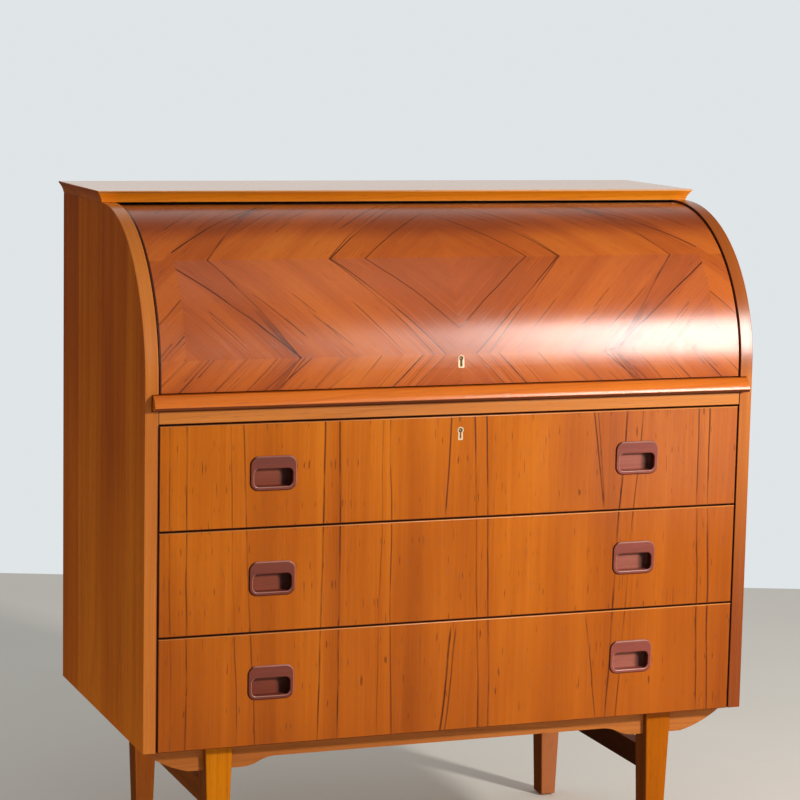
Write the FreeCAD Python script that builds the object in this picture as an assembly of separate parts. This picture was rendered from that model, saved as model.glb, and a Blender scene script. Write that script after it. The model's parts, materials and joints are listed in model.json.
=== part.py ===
import FreeCAD, Part
import math
import os

# A cylinder desk: a teak carcase on a tapered-leg base, with a rigid quarter-cylinder fall that rolls back
# inside the carcase, a pull-out writing slide, three drawers and a small gallery behind the fall.
# Millimetres, +Z up, front towards -Y, origin on the floor under the middle of the whole desk.

# Carcase
WIDTH = 900.0             # over the outer faces of the side panels
DEPTH = 455.0             # side panel, front edge to back edge
SIDE_T = 19.0
BASE_HEIGHT = 240.0       # floor to underside of the carcase
BOTTOM_T = 13.0
BACK_T = 6.0
BACK_REBATE = 10.0        # how far the back panel is let into each side panel
RAIL_HEIGHT = 18.0
RAIL_DEPTH = 45.0
DUST_T = 5.0
DUST_TONGUE = 6.0         # dust panel's tongue in the rails
DUST_LIFT = 2.5           # dust panel's underside above the rails' underside

# Top board
TOP_T = 16.5
TOP_OVERHANG = 7.5        # of the cove moulding, at the front and both ends
TOP_FILLET = 2.0          # square strip above the cove
TOP_COVE_SAG = 1.2        # hollow of the cove below its chord
TOP_SETBACK = 5.5         # front edge of its underside, behind the cylinder's axis

# Cylinder fall
FALL_RECESS = 3.0         # behind the side panels' edges
FALL_T = 12.0
FALL_SIDE_GAP = 2.0
FALL_DROP = 12.5          # how far its lower edge lies below the axis
FALL_REACH = 97.0         # degrees from level at the front to its upper edge
FALL_OPEN = 85.0          # degrees of travel
FALL_LIP_GAP = 1.8        # between its lower edge and the slide's lip
CHEEK_T = 9.0
CHEEK_INSET = 1.0         # from the shell's ends
CHEEK_REACH = 90.0
HUB_R = 13.0
PIN_R = 4.0
PIN_SEAT_DEPTH = 13.0
PIN_SEAT_GAP = 0.02
PIN_RUN_GAP = 0.05
BUSH_WALL = 2.0
BUSH_FLANGE_R = 10.0
BUSH_FLANGE_T = 2.5
STOP_LENGTH = 24.0        # stop blocks along the depth
STOP_INSET = 59.5         # their middle from the shell's inner face
STOP_HEIGHT = 8.0
STOP_GAP = 0.4

# Writing slide
SLIDE_T = 16.0
SLIDE_SIDE_GAP = 1.0
SLIDE_BACK_GAP = 24.0     # behind the slide, to the carcase back's front edge
SLIDE_STEP = 4.0          # lip's top above the writing surface
SLIDE_RUNNER_H = 6.0
SLIDE_RUNNER_OUT = 8.0
SLIDE_GROOVE_GAP = 0.3
SLIDE_STOP_W = 40.0
SLIDE_STOP_DEPTH = 18.0
SLIDE_STOP_H = 9.0
SLIDE_STOP_X = 330.0
SLIDE_STOP_BACK = 60.0    # behind the stop, to the rear rail
LIP_HEIGHT = 20.0
LIP_PROUD = 15.0          # in front of the side panels
LIP_BACK = 24.0           # behind the side panels' front edges
LIP_END_INSET = 10.5      # from the side panels' outer faces
LIP_RAIL_GAP = 1.5
LIP_NOSE = 4.5            # height of the rounded nose
LIP_FULLNESS = 2.0        # of the curve from nose to top, beyond its chord
LIP_TOP_FRONT = 4.0       # top's front edge, in front of the side panels
NOTCH_GAP = 0.8

# Drawers
DRAWER_COUNT = 3
DRAWER_PITCH = 144.2
DRAWER_GAP = 2.4          # between one front and the next
FRONT_T = 18.0
FRONT_SETBACK = 0.5       # from the side panels' front edges
FRONT_SIDE_GAP = 1.8
BOX_SIDE_T = 11.0
BOX_SIDE_GAP = 1.0
BOX_BACK_T = 10.0
BOX_BOTTOM_T = 5.0
BOX_LOW = 5.0             # drawer side's lower edge above its cell's floor
BOX_HIGH = 18.0           # drawer side's upper edge below its cell's ceiling
BOX_BACK_GAP = 30.5       # behind the drawer, to the back panel
BOTTOM_LIFT = 8.0         # bottom panel above the sides' lower edge
BOTTOM_GROOVE = 5.0
RUNNER_H = 12.0
RUNNER_OUT = 6.5
RUNNER_GAP = 0.2
RUNNER_LIFT = 56.0        # runner's middle above the cell's floor
RUNNER_BACK_GAP = 10.0

# Recessed pulls
PULL_W = 66.0
PULL_H = 47.5
PULL_CORNER = 12.0
PULL_SPREAD = 270.5       # from the middle of the desk
PULL_DOWN = 69.8          # below the drawer's top line
PULL_PROUD = 2.0
PULL_DEPTH = 15.0         # let into the front
PULL_EDGE = 1.2           # rounding of its front edge
PULL_RIM = 5.5            # beside and below the finger hole
PULL_BAR = 17.0           # above the finger hole
PULL_BAR_T = 6.0          # thickness of that bar, which fingers hook behind
PULL_UNDERCUT = 10.0
PULL_BACK_T = 2.5
PULL_HOLE_CORNER = 7.0
PULL_FIT = 0.1

# Locks and keyhole plates
LOCK_W = 46.0
LOCK_H = 40.0
LOCK_T = 12.0
LOCK_SINK = 3.0           # of the fall's lock into the shell's inner face, at the axis height
LOCK_SINK_FRONT = 4.0     # of the drawer's lock into the front's back face
BOLT_W = 20.0
BOLT_T = 6.0
BOLT_H = 24.0
BOLT_THROW = 7.0
BOLT_GAP = 0.2
MORTISE_GAP = 1.0
PLATE_W = 8.3             # keyhole plate of the fall
PLATE_H = 17.4
PLATE_CORNER = 3.9
PLATE_UP = 19.5           # its middle above the axis
PLATE_DEPTH = 6.0
PLATE_PROUD = 0.4
PLATE_FIT = 0.05
KEY_R = 1.9
KEY_SLOT_W = 1.9
KEY_SLOT_H = 6.5
DRAWER_PLATE_R = 3.5      # round head of the drawer's keyhole plate
DRAWER_PLATE_SLOT = 5.2   # width of its tail
DRAWER_PLATE_H = 17.8
DRAWER_PLATE_DOWN = 16.2  # its top below the drawer's top line
STRIKE_W = 44.0
STRIKE_D = 10.0
STRIKE_T = 1.5

# Gallery behind the fall
GALLERY_BASE_T = 10.0
GALLERY_BASE_GAP = 2.8    # above the writing surface
GALLERY_HUB_GAP = 5.0     # between its front edge and the fall's hubs
GALLERY_SHELL_GAP = 3.5   # between its curved back and the open fall
GALLERY_BACK_T = 3.0
GALLERY_T = 8.0
GALLERY_END_GAP = 7.0     # between its ends and the fall's cheeks
GALLERY_BAY = 264.0       # clear width of the middle bay
GALLERY_DROP = 36.5       # its uprights' top below the crown of its curved back
GALLERY_LIP = 1.5         # of the base, in front of the uprights
SHELF_UP = 65.0           # side shelves' underside above the base
MIDDLE_SHELF_UP = 92.0
SHELF_BACK_GAP = 2.0
TRAY_T = 6.0
TRAY_BOTTOM_T = 4.0
TRAY_FRONT_T = 10.0
TRAY_GAP = 0.5
TRAY_BACK_GAP = 24.6      # behind the tray's top edge, to the gallery's curved back
TRAY_RIM = 6.0            # tray's sides below its front's top edge
KNOB_R = 7.0
KNOB_LENGTH = 13.0
KNOB_NECK_R = 3.6
KNOB_NECK = 4.5           # length of the neck behind the round head
KNOB_STEM_R = 3.0
KNOB_FIT = 0.05

# Base
LEG_TOP_X = 40.0
LEG_TOP_Y = 39.0
LEG_FOOT_X = 24.0
LEG_FOOT_Y = 32.0
LEG_EDGE = 2.5            # rounding of the legs' long edges
LEG_SIDE_INSET = 116.3    # leg's middle from the side panels' outer faces
LEG_FRONT_INSET = 49.5    # front leg's middle from the front edge
LEG_BACK_INSET = 28.0     # back leg's middle from the back edge
GLIDE_R = 8.0
GLIDE_T = 3.0
APRON_T = 18.0
APRON_SETBACK = 10.0      # behind the legs' outer faces at the top
APRON_LEG_H = 40.0        # height at the legs
APRON_MID_H = 27.5        # height between them
APRON_SHOULDER = 15.0     # flat beside each leg, on the inside
APRON_OGEE = 50.0         # length of the curve from one height to the other
APRON_OUTER_FLAT = 21.0   # flat beside each leg, on the outside
APRON_TIP_H = 3.0
APRON_TIP_INSET = 4.0     # from the side panels' outer faces
APRON_SWEEP_SAG = 5.0     # fullness of the end's curve below its chord
STRETCHER_T = 20.0
STRETCHER_H = 34.0
STRETCHER_DOWN = 66.0     # its top below the carcase
BLOCK_LENGTH = 40.0
BLOCK_DEPTH = 32.0
BLOCK_H = 20.0
BLOCK_LEG_GAP = 6.0

# Screws
SCREW_R = 1.75
SCREW_HEAD_R = 3.5
SCREW_HEAD_T = 2.0
SCREW_GRIP = 10.0         # thread in the second piece
SCREW_FIT = 0.05
BACK_SCREWS = 5           # down each side of the back panel
BACK_SCREW_END = 40.0     # first and last one from the panel's ends

# Places worked out from the sizes above
INNER = WIDTH / 2 - SIDE_T
FRONT = (LIP_PROUD - DEPTH) / 2
BACK = FRONT + DEPTH
BACK_FACE = BACK - BACK_T
STACK_TOP = BASE_HEIGHT + BOTTOM_T + DRAWER_COUNT * DRAWER_PITCH
RAIL_LOW = STACK_TOP + DRAWER_GAP / 2
RAIL_HIGH = RAIL_LOW + RAIL_HEIGHT
LIP_LOW = RAIL_HIGH + LIP_RAIL_GAP
LIP_HIGH = LIP_LOW + LIP_HEIGHT
SLIDE_HIGH = LIP_HIGH - SLIDE_STEP
SLIDE_LOW = SLIDE_HIGH - SLIDE_T
SLIDE_MID = SLIDE_HIGH - SLIDE_T / 2
FALL_LOW = LIP_HIGH + FALL_LIP_GAP
SIDE_RADIUS = (BACK_FACE - FRONT) / 2
AXIS_Y = FRONT + SIDE_RADIUS
AXIS_Z = FALL_LOW + FALL_DROP
SIDE_TOP = AXIS_Z + SIDE_RADIUS
FALL_R = SIDE_RADIUS - FALL_RECESS
FALL_INNER_R = FALL_R - FALL_T
FALL_END = INNER - FALL_SIDE_GAP
FALL_START = -math.degrees(math.asin(FALL_DROP / FALL_R))
CHEEK_OUT = FALL_END - CHEEK_INSET
CHEEK_IN = CHEEK_OUT - CHEEK_T
FRONT_FACE = FRONT + FRONT_SETBACK
FRONT_BACK = FRONT_FACE + FRONT_T
BOX_OUT = INNER - BOX_SIDE_GAP
BOX_IN = BOX_OUT - BOX_SIDE_T
BOX_END = BACK_FACE - BOX_BACK_GAP
GALLERY_LOW = SLIDE_HIGH + GALLERY_BASE_GAP
GALLERY_FLOOR = GALLERY_LOW + GALLERY_BASE_T
GALLERY_BASE_FRONT = AXIS_Y + HUB_R + GALLERY_HUB_GAP
GALLERY_FRONT = GALLERY_BASE_FRONT + GALLERY_LIP
GALLERY_BACK_R = FALL_INNER_R - GALLERY_SHELL_GAP
GALLERY_R = GALLERY_BACK_R - GALLERY_BACK_T
GALLERY_END = CHEEK_IN - GALLERY_END_GAP
GALLERY_TOP = AXIS_Z + GALLERY_R - GALLERY_DROP
LEG_X = WIDTH / 2 - LEG_SIDE_INSET
LEG_FRONT_Y = FRONT + LEG_FRONT_INSET
LEG_BACK_Y = BACK - LEG_BACK_INSET
FRONT_APRON_Y = LEG_FRONT_Y - LEG_TOP_Y / 2 + APRON_SETBACK
BACK_APRON_Y = LEG_BACK_Y + LEG_TOP_Y / 2 - APRON_SETBACK - APRON_T
LOCK_FRONT_Y = AXIS_Y - FALL_INNER_R - LOCK_SINK


def vec(x, y, z):
    return FreeCAD.Vector(x, y, z)


def slab(x0, x1, y0, y1, z0, z1):
    """A square-edged board between two corners."""
    low = vec(min(x0, x1), y0, z0)
    return Part.makeBox(abs(x1 - x0), y1 - y0, z1 - z0, low)


def rod(radius, start, direction, length):
    return Part.makeCylinder(radius, length, start, direction)


def outline(place, start, *steps):
    """A face bounded by lines and arcs: a step is an end point, or a pair of an arc's middle and end."""
    edges = []
    here = start
    for step in steps + (start,):
        if isinstance(step[0], tuple):
            middle, end = step
            edges.append(Part.Arc(place(*here), place(*middle), place(*end)).toShape())
        else:
            end = step
            edges.append(Part.LineSegment(place(*here), place(*end)).toShape())
        here = end
    return Part.Face(Part.Wire(edges))


def along_x(x0, x1, start, *steps):
    """An outline in the Y-Z plane, carried from x0 to x1."""
    face = outline(lambda y, z: vec(min(x0, x1), y, z), start, *steps)
    return face.extrude(vec(abs(x1 - x0), 0, 0))


def along_y(y0, y1, start, *steps):
    """An outline in the X-Z plane, carried from y0 to y1."""
    face = outline(lambda x, z: vec(x, y0, z), start, *steps)
    return face.extrude(vec(0, y1 - y0, 0))


def rounded_block(x, z, width, height, corner, y0, y1):
    """A block with rounded corners in the X-Z plane, carried from y0 to y1."""
    block = slab(x - width / 2, x + width / 2, y0, y1, z - height / 2, z + height / 2)
    edges = [e for e in block.Edges if abs(e.tangentAt(e.FirstParameter).y) > 0.5]
    return block.makeFillet(corner, edges)


def round_about(radius, degrees):
    """A point of the cylinder's section: 0 degrees is level at the front, 90 is straight up."""
    a = math.radians(degrees)
    return AXIS_Y - radius * math.cos(a), AXIS_Z + radius * math.sin(a)


def arc_about(radius, start, end):
    return round_about(radius, (start + end) / 2), round_about(radius, end)


def mirrored(shape):
    """The same piece at the other end of the desk."""
    return shape.mirror(vec(0, 0, 0), vec(1, 0, 0))


def both_sides(shape):
    return [mirrored(shape), shape]


def back_screw_places():
    step = (SIDE_TOP - BASE_HEIGHT - 2 * BACK_SCREW_END) / (BACK_SCREWS - 1)
    x = INNER + BACK_REBATE / 2
    heights = [BASE_HEIGHT + BACK_SCREW_END + i * step for i in range(BACK_SCREWS)]
    return [(side * x, z) for side in (-1, 1) for z in heights]


def screw(start, direction, through, gap=0.0):
    """A screw, or with a gap its hole: a flat head, and a shank through one piece into the next."""
    head = rod(SCREW_HEAD_R + gap, start, direction, SCREW_HEAD_T)
    shank = rod(SCREW_R + gap, start, direction, through + SCREW_GRIP)
    return head.fuse(shank).removeSplitter()


def back_screws(gap=0.0):
    return [screw(vec(x, BACK, z), vec(0, -1, 0), BACK_T, gap) for x, z in back_screw_places()]


def side_panel(side):
    """Full-height side: square below, quarter-round above, notched inside for the slide's lip."""
    panel = along_x(
        side * INNER, side * WIDTH / 2,
        (FRONT, BASE_HEIGHT),
        (FRONT, AXIS_Z),
        arc_about(SIDE_RADIUS, 0, 90),
        (BACK, SIDE_TOP),
        (BACK, BASE_HEIGHT),
    )
    notch_end = WIDTH / 2 - LIP_END_INSET + NOTCH_GAP
    notch_back = FRONT + LIP_BACK + NOTCH_GAP
    notch = slab(side * INNER, side * notch_end, FRONT, notch_back, RAIL_HIGH, LIP_HIGH + NOTCH_GAP)
    rebate = slab(side * INNER, side * (INNER + BACK_REBATE), BACK_FACE, BACK, BASE_HEIGHT, SIDE_TOP)
    seat = rod(PIN_R + PIN_SEAT_GAP, vec(side * INNER, AXIS_Y, AXIS_Z), vec(side, 0, 0), PIN_SEAT_DEPTH)
    return panel.cut([notch, rebate, seat] + back_screws(SCREW_FIT))


def cove(edge, inward, top, underside):
    """The moulded edge's points from the top down: a square strip, then a hollow to the underside."""
    strip = top - TOP_FILLET
    run = math.hypot(TOP_OVERHANG, strip - underside)
    middle = (edge + inward * TOP_OVERHANG / 2, (strip + underside) / 2)
    hollow = (
        middle[0] + inward * TOP_COVE_SAG * (strip - underside) / run,
        middle[1] + TOP_COVE_SAG * TOP_OVERHANG / run,
    )
    return (edge, top), (edge, strip), hollow, (edge + inward * TOP_OVERHANG, underside)


def top_board():
    """Top over the back half of the depth, with a cove mitred round its front and both ends."""
    underside = SIDE_TOP
    top = SIDE_TOP + TOP_T
    end = WIDTH / 2 + TOP_OVERHANG
    front = AXIS_Y + TOP_SETBACK - TOP_OVERHANG
    left = cove(-end, 1, top, underside)
    right = cove(end, -1, top, underside)
    nose = cove(front, 1, top, underside)
    length = along_y(
        front, BACK,
        left[0], left[1], (left[2], left[3]), right[3], (right[2], right[1]), right[0],
    )
    depth = along_x(-end, end, nose[0], nose[1], (nose[2], nose[3]), (BACK, underside), (BACK, top))
    return length.common(depth)


def back_panel():
    edge = INNER + BACK_REBATE
    panel = slab(-edge, edge, BACK_FACE, BACK, BASE_HEIGHT, SIDE_TOP)
    return panel.cut(back_screws(SCREW_FIT))


def bottom_board():
    board = slab(-INNER, INNER, FRONT_BACK + BOX_SIDE_GAP, BACK_FACE, BASE_HEIGHT, BASE_HEIGHT + BOTTOM_T)
    return board.cut(block_screws(SCREW_FIT))


def dust_groove():
    low = RAIL_LOW + DUST_LIFT
    front = FRONT_FACE + RAIL_DEPTH - DUST_TONGUE
    back = BACK_FACE - RAIL_DEPTH + DUST_TONGUE
    return slab(-INNER, INNER, front, back, low, low + DUST_T)


def front_rail():
    """Rail under the slide, grooved for the dust panel and mortised for the drawer lock's bolt."""
    rail = slab(-INNER, INNER, FRONT_FACE, FRONT_FACE + RAIL_DEPTH, RAIL_LOW, RAIL_HIGH)
    x = BOLT_W / 2 + MORTISE_GAP
    y0 = drawer_bolt_front() - MORTISE_GAP
    y1 = drawer_bolt_front() + BOLT_T + MORTISE_GAP
    mortise = slab(-x, x, y0, y1, RAIL_LOW, RAIL_LOW + BOLT_THROW + MORTISE_GAP)
    return rail.cut([dust_groove(), mortise])


def rear_rail():
    rail = slab(-INNER, INNER, BACK_FACE - RAIL_DEPTH, BACK_FACE, RAIL_LOW, RAIL_HIGH)
    return rail.cut(dust_groove())


def slide_runner():
    y0 = FRONT + LIP_BACK + NOTCH_GAP
    z0 = SLIDE_MID - SLIDE_RUNNER_H / 2
    return slab(INNER - SLIDE_RUNNER_OUT, INNER, y0, BACK_FACE, z0, z0 + SLIDE_RUNNER_H)


def cell_floor(number):
    """Floor of a drawer's cell; drawer 1 is the top one."""
    return BASE_HEIGHT + BOTTOM_T + (DRAWER_COUNT - number) * DRAWER_PITCH


def drawer_runner(number):
    low = cell_floor(number) + RUNNER_LIFT - RUNNER_H / 2
    y0 = FRONT_BACK + BOX_SIDE_GAP
    y1 = BACK_FACE - RUNNER_BACK_GAP
    return slab(INNER - RUNNER_OUT, INNER, y0, y1, low, low + RUNNER_H)


def fall_stops():
    """Blocks on the side panels that the cheeks' edges meet, in front when shut and behind when open."""
    shut = FALL_START
    opened = CHEEK_REACH + FALL_OPEN
    blocks = []
    for degrees in (shut, opened):
        y, z = round_about(FALL_INNER_R - STOP_INSET, degrees)
        half = STOP_LENGTH / 2
        rise = -math.tan(math.radians(degrees)) * half
        top = z - STOP_GAP
        block = along_x(
            CHEEK_IN, INNER,
            (y - half, top - STOP_HEIGHT),
            (y + half, top - STOP_HEIGHT),
            (y + half, top + rise),
            (y - half, top - rise),
        )
        blocks += both_sides(block)
    return blocks


def fall_pin():
    length = INNER + PIN_SEAT_DEPTH - CHEEK_IN
    return rod(PIN_R, vec(CHEEK_IN, AXIS_Y, AXIS_Z), vec(1, 0, 0), length)


def fall_lock_box(grow=0.0):
    """The fall's lock: flush with the shell's lower edge, sunk a little into its inner face."""
    half = LOCK_W / 2 + grow
    return slab(-half, half, LOCK_FRONT_Y, LOCK_FRONT_Y + LOCK_T, FALL_LOW - grow, FALL_LOW + LOCK_H + grow)


def keyhole(x, y0, y1, z):
    eye = rod(KEY_R, vec(x, y0, z), vec(0, 1, 0), y1 - y0)
    slot = slab(x - KEY_SLOT_W / 2, x + KEY_SLOT_W / 2, y0, y1, z - KEY_SLOT_H, z)
    return eye.fuse(slot).removeSplitter()


def fall_plate(grow=0.0, depth=PLATE_DEPTH):
    """The fall's keyhole plate, made level with the axis and turned up the cylinder to its place."""
    y0 = AXIS_Y - FALL_R - PLATE_PROUD
    width = PLATE_W + 2 * grow
    height = PLATE_H + 2 * grow
    plate = rounded_block(0, AXIS_Z, width, height, PLATE_CORNER + grow, y0, y0 + depth)
    if not grow:
        plate = plate.cut(keyhole(0, y0, y0 + depth, AXIS_Z + KEY_R))
    turn = -math.degrees(math.asin(PLATE_UP / FALL_R))
    return plate.rotate(vec(0, AXIS_Y, AXIS_Z), vec(1, 0, 0), turn)


def cylinder_fall():
    """The curved shell, cut for its keyhole plate and lock."""
    shell = along_x(
        -FALL_END, FALL_END,
        round_about(FALL_R, FALL_START),
        arc_about(FALL_R, FALL_START, FALL_REACH),
        round_about(FALL_INNER_R, FALL_REACH),
        arc_about(FALL_INNER_R, FALL_REACH, FALL_START),
    )
    return shell.cut([fall_lock_box(PLATE_FIT), fall_plate(PLATE_FIT, FALL_T)])


def fall_cheek():
    """A fan-shaped plywood end that carries the shell on its pivot."""
    fan = along_x(
        CHEEK_IN, CHEEK_OUT,
        (AXIS_Y, AXIS_Z),
        round_about(FALL_INNER_R, FALL_START),
        arc_about(FALL_INNER_R, FALL_START, CHEEK_REACH),
    )
    hub = rod(HUB_R, vec(CHEEK_IN, AXIS_Y, AXIS_Z), vec(1, 0, 0), CHEEK_T)
    seat = rod(PIN_R + PIN_RUN_GAP + BUSH_WALL, vec(CHEEK_IN, AXIS_Y, AXIS_Z), vec(1, 0, 0), CHEEK_T)
    return fan.fuse(hub).cut(seat).removeSplitter()


def fall_bush():
    sleeve = rod(PIN_R + PIN_RUN_GAP + BUSH_WALL, vec(CHEEK_IN, AXIS_Y, AXIS_Z), vec(1, 0, 0), CHEEK_T)
    flange = rod(BUSH_FLANGE_R, vec(CHEEK_OUT, AXIS_Y, AXIS_Z), vec(1, 0, 0), BUSH_FLANGE_T)
    bore = rod(PIN_R + PIN_RUN_GAP, vec(CHEEK_IN, AXIS_Y, AXIS_Z), vec(1, 0, 0), CHEEK_T + BUSH_FLANGE_T)
    return sleeve.fuse(flange).cut(bore).removeSplitter()


def bolt(y0, z0, grow=0.0):
    """A lock's flat bolt, or with a gap the channel that it runs in."""
    half = BOLT_W / 2 + grow
    return slab(-half, half, y0 - grow, y0 + BOLT_T + grow, z0 - grow, z0 + BOLT_H + grow)


def fall_bolt_front():
    return LOCK_FRONT_Y + (LOCK_T - BOLT_T) / 2


def fall_lock_case():
    key = keyhole(0, LOCK_FRONT_Y, fall_bolt_front(), AXIS_Z + PLATE_UP + KEY_R)
    return fall_lock_box().cut([bolt(fall_bolt_front(), FALL_LOW, BOLT_GAP), key])


def writing_slide():
    """The board, grooved along both edges for its runners."""
    end = INNER - SLIDE_SIDE_GAP
    board = slab(-end, end, FRONT + LIP_BACK, BACK_FACE - SLIDE_BACK_GAP, SLIDE_LOW, SLIDE_HIGH)
    z0 = SLIDE_MID - SLIDE_RUNNER_H / 2 - SLIDE_GROOVE_GAP
    z1 = SLIDE_MID + SLIDE_RUNNER_H / 2 + SLIDE_GROOVE_GAP
    x = INNER - SLIDE_RUNNER_OUT - SLIDE_GROOVE_GAP
    groove = slab(x, end, FRONT + LIP_BACK, BACK_FACE - SLIDE_BACK_GAP, z0, z1)
    return board.cut(both_sides(groove))


def strike_box(depth):
    y = fall_bolt_front() + BOLT_T / 2
    return slab(-STRIKE_W / 2, STRIKE_W / 2, y - STRIKE_D / 2, y + STRIKE_D / 2, LIP_HIGH - depth, LIP_HIGH)


def strike_mortise():
    x = BOLT_W / 2 + MORTISE_GAP
    y0 = fall_bolt_front() - MORTISE_GAP
    y1 = fall_bolt_front() + BOLT_T + MORTISE_GAP
    reach = FALL_LOW - BOLT_THROW - MORTISE_GAP
    return slab(-x, x, y0, y1, reach, LIP_HIGH)


def slide_lip():
    """The moulded front edge: a rounded nose low down, and a full curve up and back to the top."""
    nose = FRONT - LIP_PROUD
    crown = FRONT - LIP_TOP_FRONT
    under = nose + LIP_NOSE
    back = FRONT + LIP_BACK
    round_mid = LIP_NOSE * (1 - math.sqrt(0.5))
    nose_high = LIP_LOW + LIP_NOSE
    rise = LIP_HIGH - nose_high
    run = math.hypot(crown - nose, rise)
    full_y = (nose + crown) / 2 - LIP_FULLNESS * rise / run
    full_z = (nose_high + LIP_HIGH) / 2 + LIP_FULLNESS * (crown - nose) / run
    end = WIDTH / 2 - LIP_END_INSET
    lip = along_x(
        -end, end,
        (back, LIP_LOW),
        (under, LIP_LOW),
        ((nose + round_mid, LIP_LOW + round_mid), (nose, nose_high)),
        ((full_y, full_z), (crown, LIP_HIGH)),
        (back, LIP_HIGH),
    )
    return lip.cut([strike_box(STRIKE_T), strike_mortise()])


def strike_plate():
    return strike_box(STRIKE_T).cut(strike_mortise())


def slide_stop():
    """A block under the slide that meets the front rail's back when the slide is right out."""
    y1 = BACK_FACE - RAIL_DEPTH - SLIDE_STOP_BACK
    x0 = SLIDE_STOP_X - SLIDE_STOP_W / 2
    return slab(x0, x0 + SLIDE_STOP_W, y1 - SLIDE_STOP_DEPTH, y1, SLIDE_LOW - SLIDE_STOP_H, SLIDE_LOW)


def drawer_line(number):
    """Middle of the gap above a drawer's front."""
    return cell_floor(number) + DRAWER_PITCH


def drawer_bolt_front():
    return FRONT_BACK - LOCK_SINK_FRONT + (LOCK_T - BOLT_T) / 2


def drawer_lock_top():
    return drawer_line(1) - DRAWER_GAP / 2


def drawer_lock_box(grow=0.0):
    half = LOCK_W / 2 + grow
    y0 = FRONT_BACK - LOCK_SINK_FRONT
    top = drawer_lock_top()
    return slab(-half, half, y0, y0 + LOCK_T, top - LOCK_H - grow, top + grow)


def drawer_plate_eye():
    return drawer_line(1) - DRAWER_PLATE_DOWN - DRAWER_PLATE_R


def drawer_lock_case():
    bolt_low = drawer_lock_top() - BOLT_H
    y0 = FRONT_BACK - LOCK_SINK_FRONT
    key = keyhole(0, y0, drawer_bolt_front(), drawer_plate_eye())
    return drawer_lock_box().cut([bolt(drawer_bolt_front(), bolt_low, BOLT_GAP), key])


def drawer_plate(grow=0.0, depth=PLATE_DEPTH):
    """The drawer's keyhole plate: a round head over a narrower round-ended tail."""
    y0 = FRONT_FACE - PLATE_PROUD
    eye = drawer_plate_eye()
    tail = DRAWER_PLATE_SLOT / 2
    foot = eye + DRAWER_PLATE_R - DRAWER_PLATE_H + tail
    head = rod(DRAWER_PLATE_R + grow, vec(0, y0, eye), vec(0, 1, 0), depth)
    neck = slab(-tail - grow, tail + grow, y0, y0 + depth, foot, eye)
    toe = rod(tail + grow, vec(0, y0, foot), vec(0, 1, 0), depth)
    plate = head.fuse([neck, toe]).removeSplitter()
    if not grow:
        plate = plate.cut(keyhole(0, y0, y0 + depth, eye))
    return plate


def pull_block(x, z, grow=0.0):
    width = PULL_W + 2 * grow
    height = PULL_H + 2 * grow
    y0 = FRONT_FACE - PULL_PROUD
    y1 = FRONT_FACE + PULL_DEPTH + grow
    return rounded_block(x, z, width, height, PULL_CORNER + grow, y0, y1)


def pull(x, z):
    """A recessed wooden pull: a finger hole below a broad bar, cut away behind the bar for fingertips."""
    block = pull_block(x, z)
    face = FRONT_FACE - PULL_PROUD
    rim = [e for e in block.Edges if abs(e.BoundBox.YMax - face) < PULL_FIT]
    block = block.makeFillet(PULL_EDGE, rim)
    hole_w = PULL_W - 2 * PULL_RIM
    hole_h = PULL_H - PULL_BAR - PULL_RIM
    low = z - PULL_H / 2 + PULL_RIM
    floor = FRONT_FACE + PULL_DEPTH - PULL_BACK_T
    mouth = rounded_block(x, low + hole_h / 2, hole_w, hole_h, PULL_HOLE_CORNER, face, floor)
    tall = hole_h + PULL_UNDERCUT
    grip = rounded_block(x, low + tall / 2, hole_w, tall, PULL_HOLE_CORNER, face + PULL_BAR_T, floor)
    return block.cut([mouth, grip])


def pull_places(number):
    z = drawer_line(number) - PULL_DOWN
    return [(-PULL_SPREAD, z), (PULL_SPREAD, z)]


def box_bottom(number):
    """The drawer's bottom panel, let into its front and sides and running under its back."""
    x = BOX_IN + BOTTOM_GROOVE
    z0 = cell_floor(number) + BOX_LOW + BOTTOM_LIFT
    return slab(-x, x, FRONT_BACK - BOTTOM_GROOVE, BOX_END, z0, z0 + BOX_BOTTOM_T)


def drawer_front(number):
    """A veneered front, cut for its pulls and bottom panel; the lowest one covers the bottom board."""
    lowest = number == DRAWER_COUNT
    low = BASE_HEIGHT if lowest else cell_floor(number) + DRAWER_GAP / 2
    end = INNER - FRONT_SIDE_GAP
    front = slab(-end, end, FRONT_FACE, FRONT_BACK, low, drawer_line(number) - DRAWER_GAP / 2)
    cuts = [pull_block(x, z, PULL_FIT) for x, z in pull_places(number)]
    cuts.append(box_bottom(number))
    if number == 1:
        cuts += [drawer_lock_box(PLATE_FIT), drawer_plate(PLATE_FIT, FRONT_T)]
    return front.cut(cuts)


def drawer_box(number):
    """Two grooved sides and a back."""
    floor = cell_floor(number)
    high = floor + DRAWER_PITCH - BOX_HIGH
    side = slab(BOX_IN, BOX_OUT, FRONT_BACK, BOX_END, floor + BOX_LOW, high)
    z = floor + RUNNER_LIFT
    reach = RUNNER_H / 2 + RUNNER_GAP
    x = INNER - RUNNER_OUT - RUNNER_GAP
    groove = slab(x, BOX_OUT, FRONT_BACK, BOX_END, z - reach, z + reach)
    side = side.cut([groove, box_bottom(number)])
    back_low = floor + BOX_LOW + BOTTOM_LIFT + BOX_BOTTOM_T
    back = slab(-BOX_IN, BOX_IN, BOX_END - BOX_BACK_T, BOX_END, back_low, high)
    return both_sides(side) + [back]


def inside_gallery(height):
    """How far back the gallery reaches at a height, inside its curved back."""
    rise = height - AXIS_Z
    return AXIS_Y + math.sqrt(GALLERY_R ** 2 - rise ** 2)


def angle_at(radius, height):
    """Angle of the point of a circle behind the axis that lies at a height."""
    return 180 - math.degrees(math.asin((height - AXIS_Z) / radius))


def gallery_base():
    y1 = AXIS_Y + GALLERY_BACK_R
    return slab(-INNER, INNER, GALLERY_BASE_FRONT, y1, GALLERY_LOW, GALLERY_FLOOR)


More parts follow.
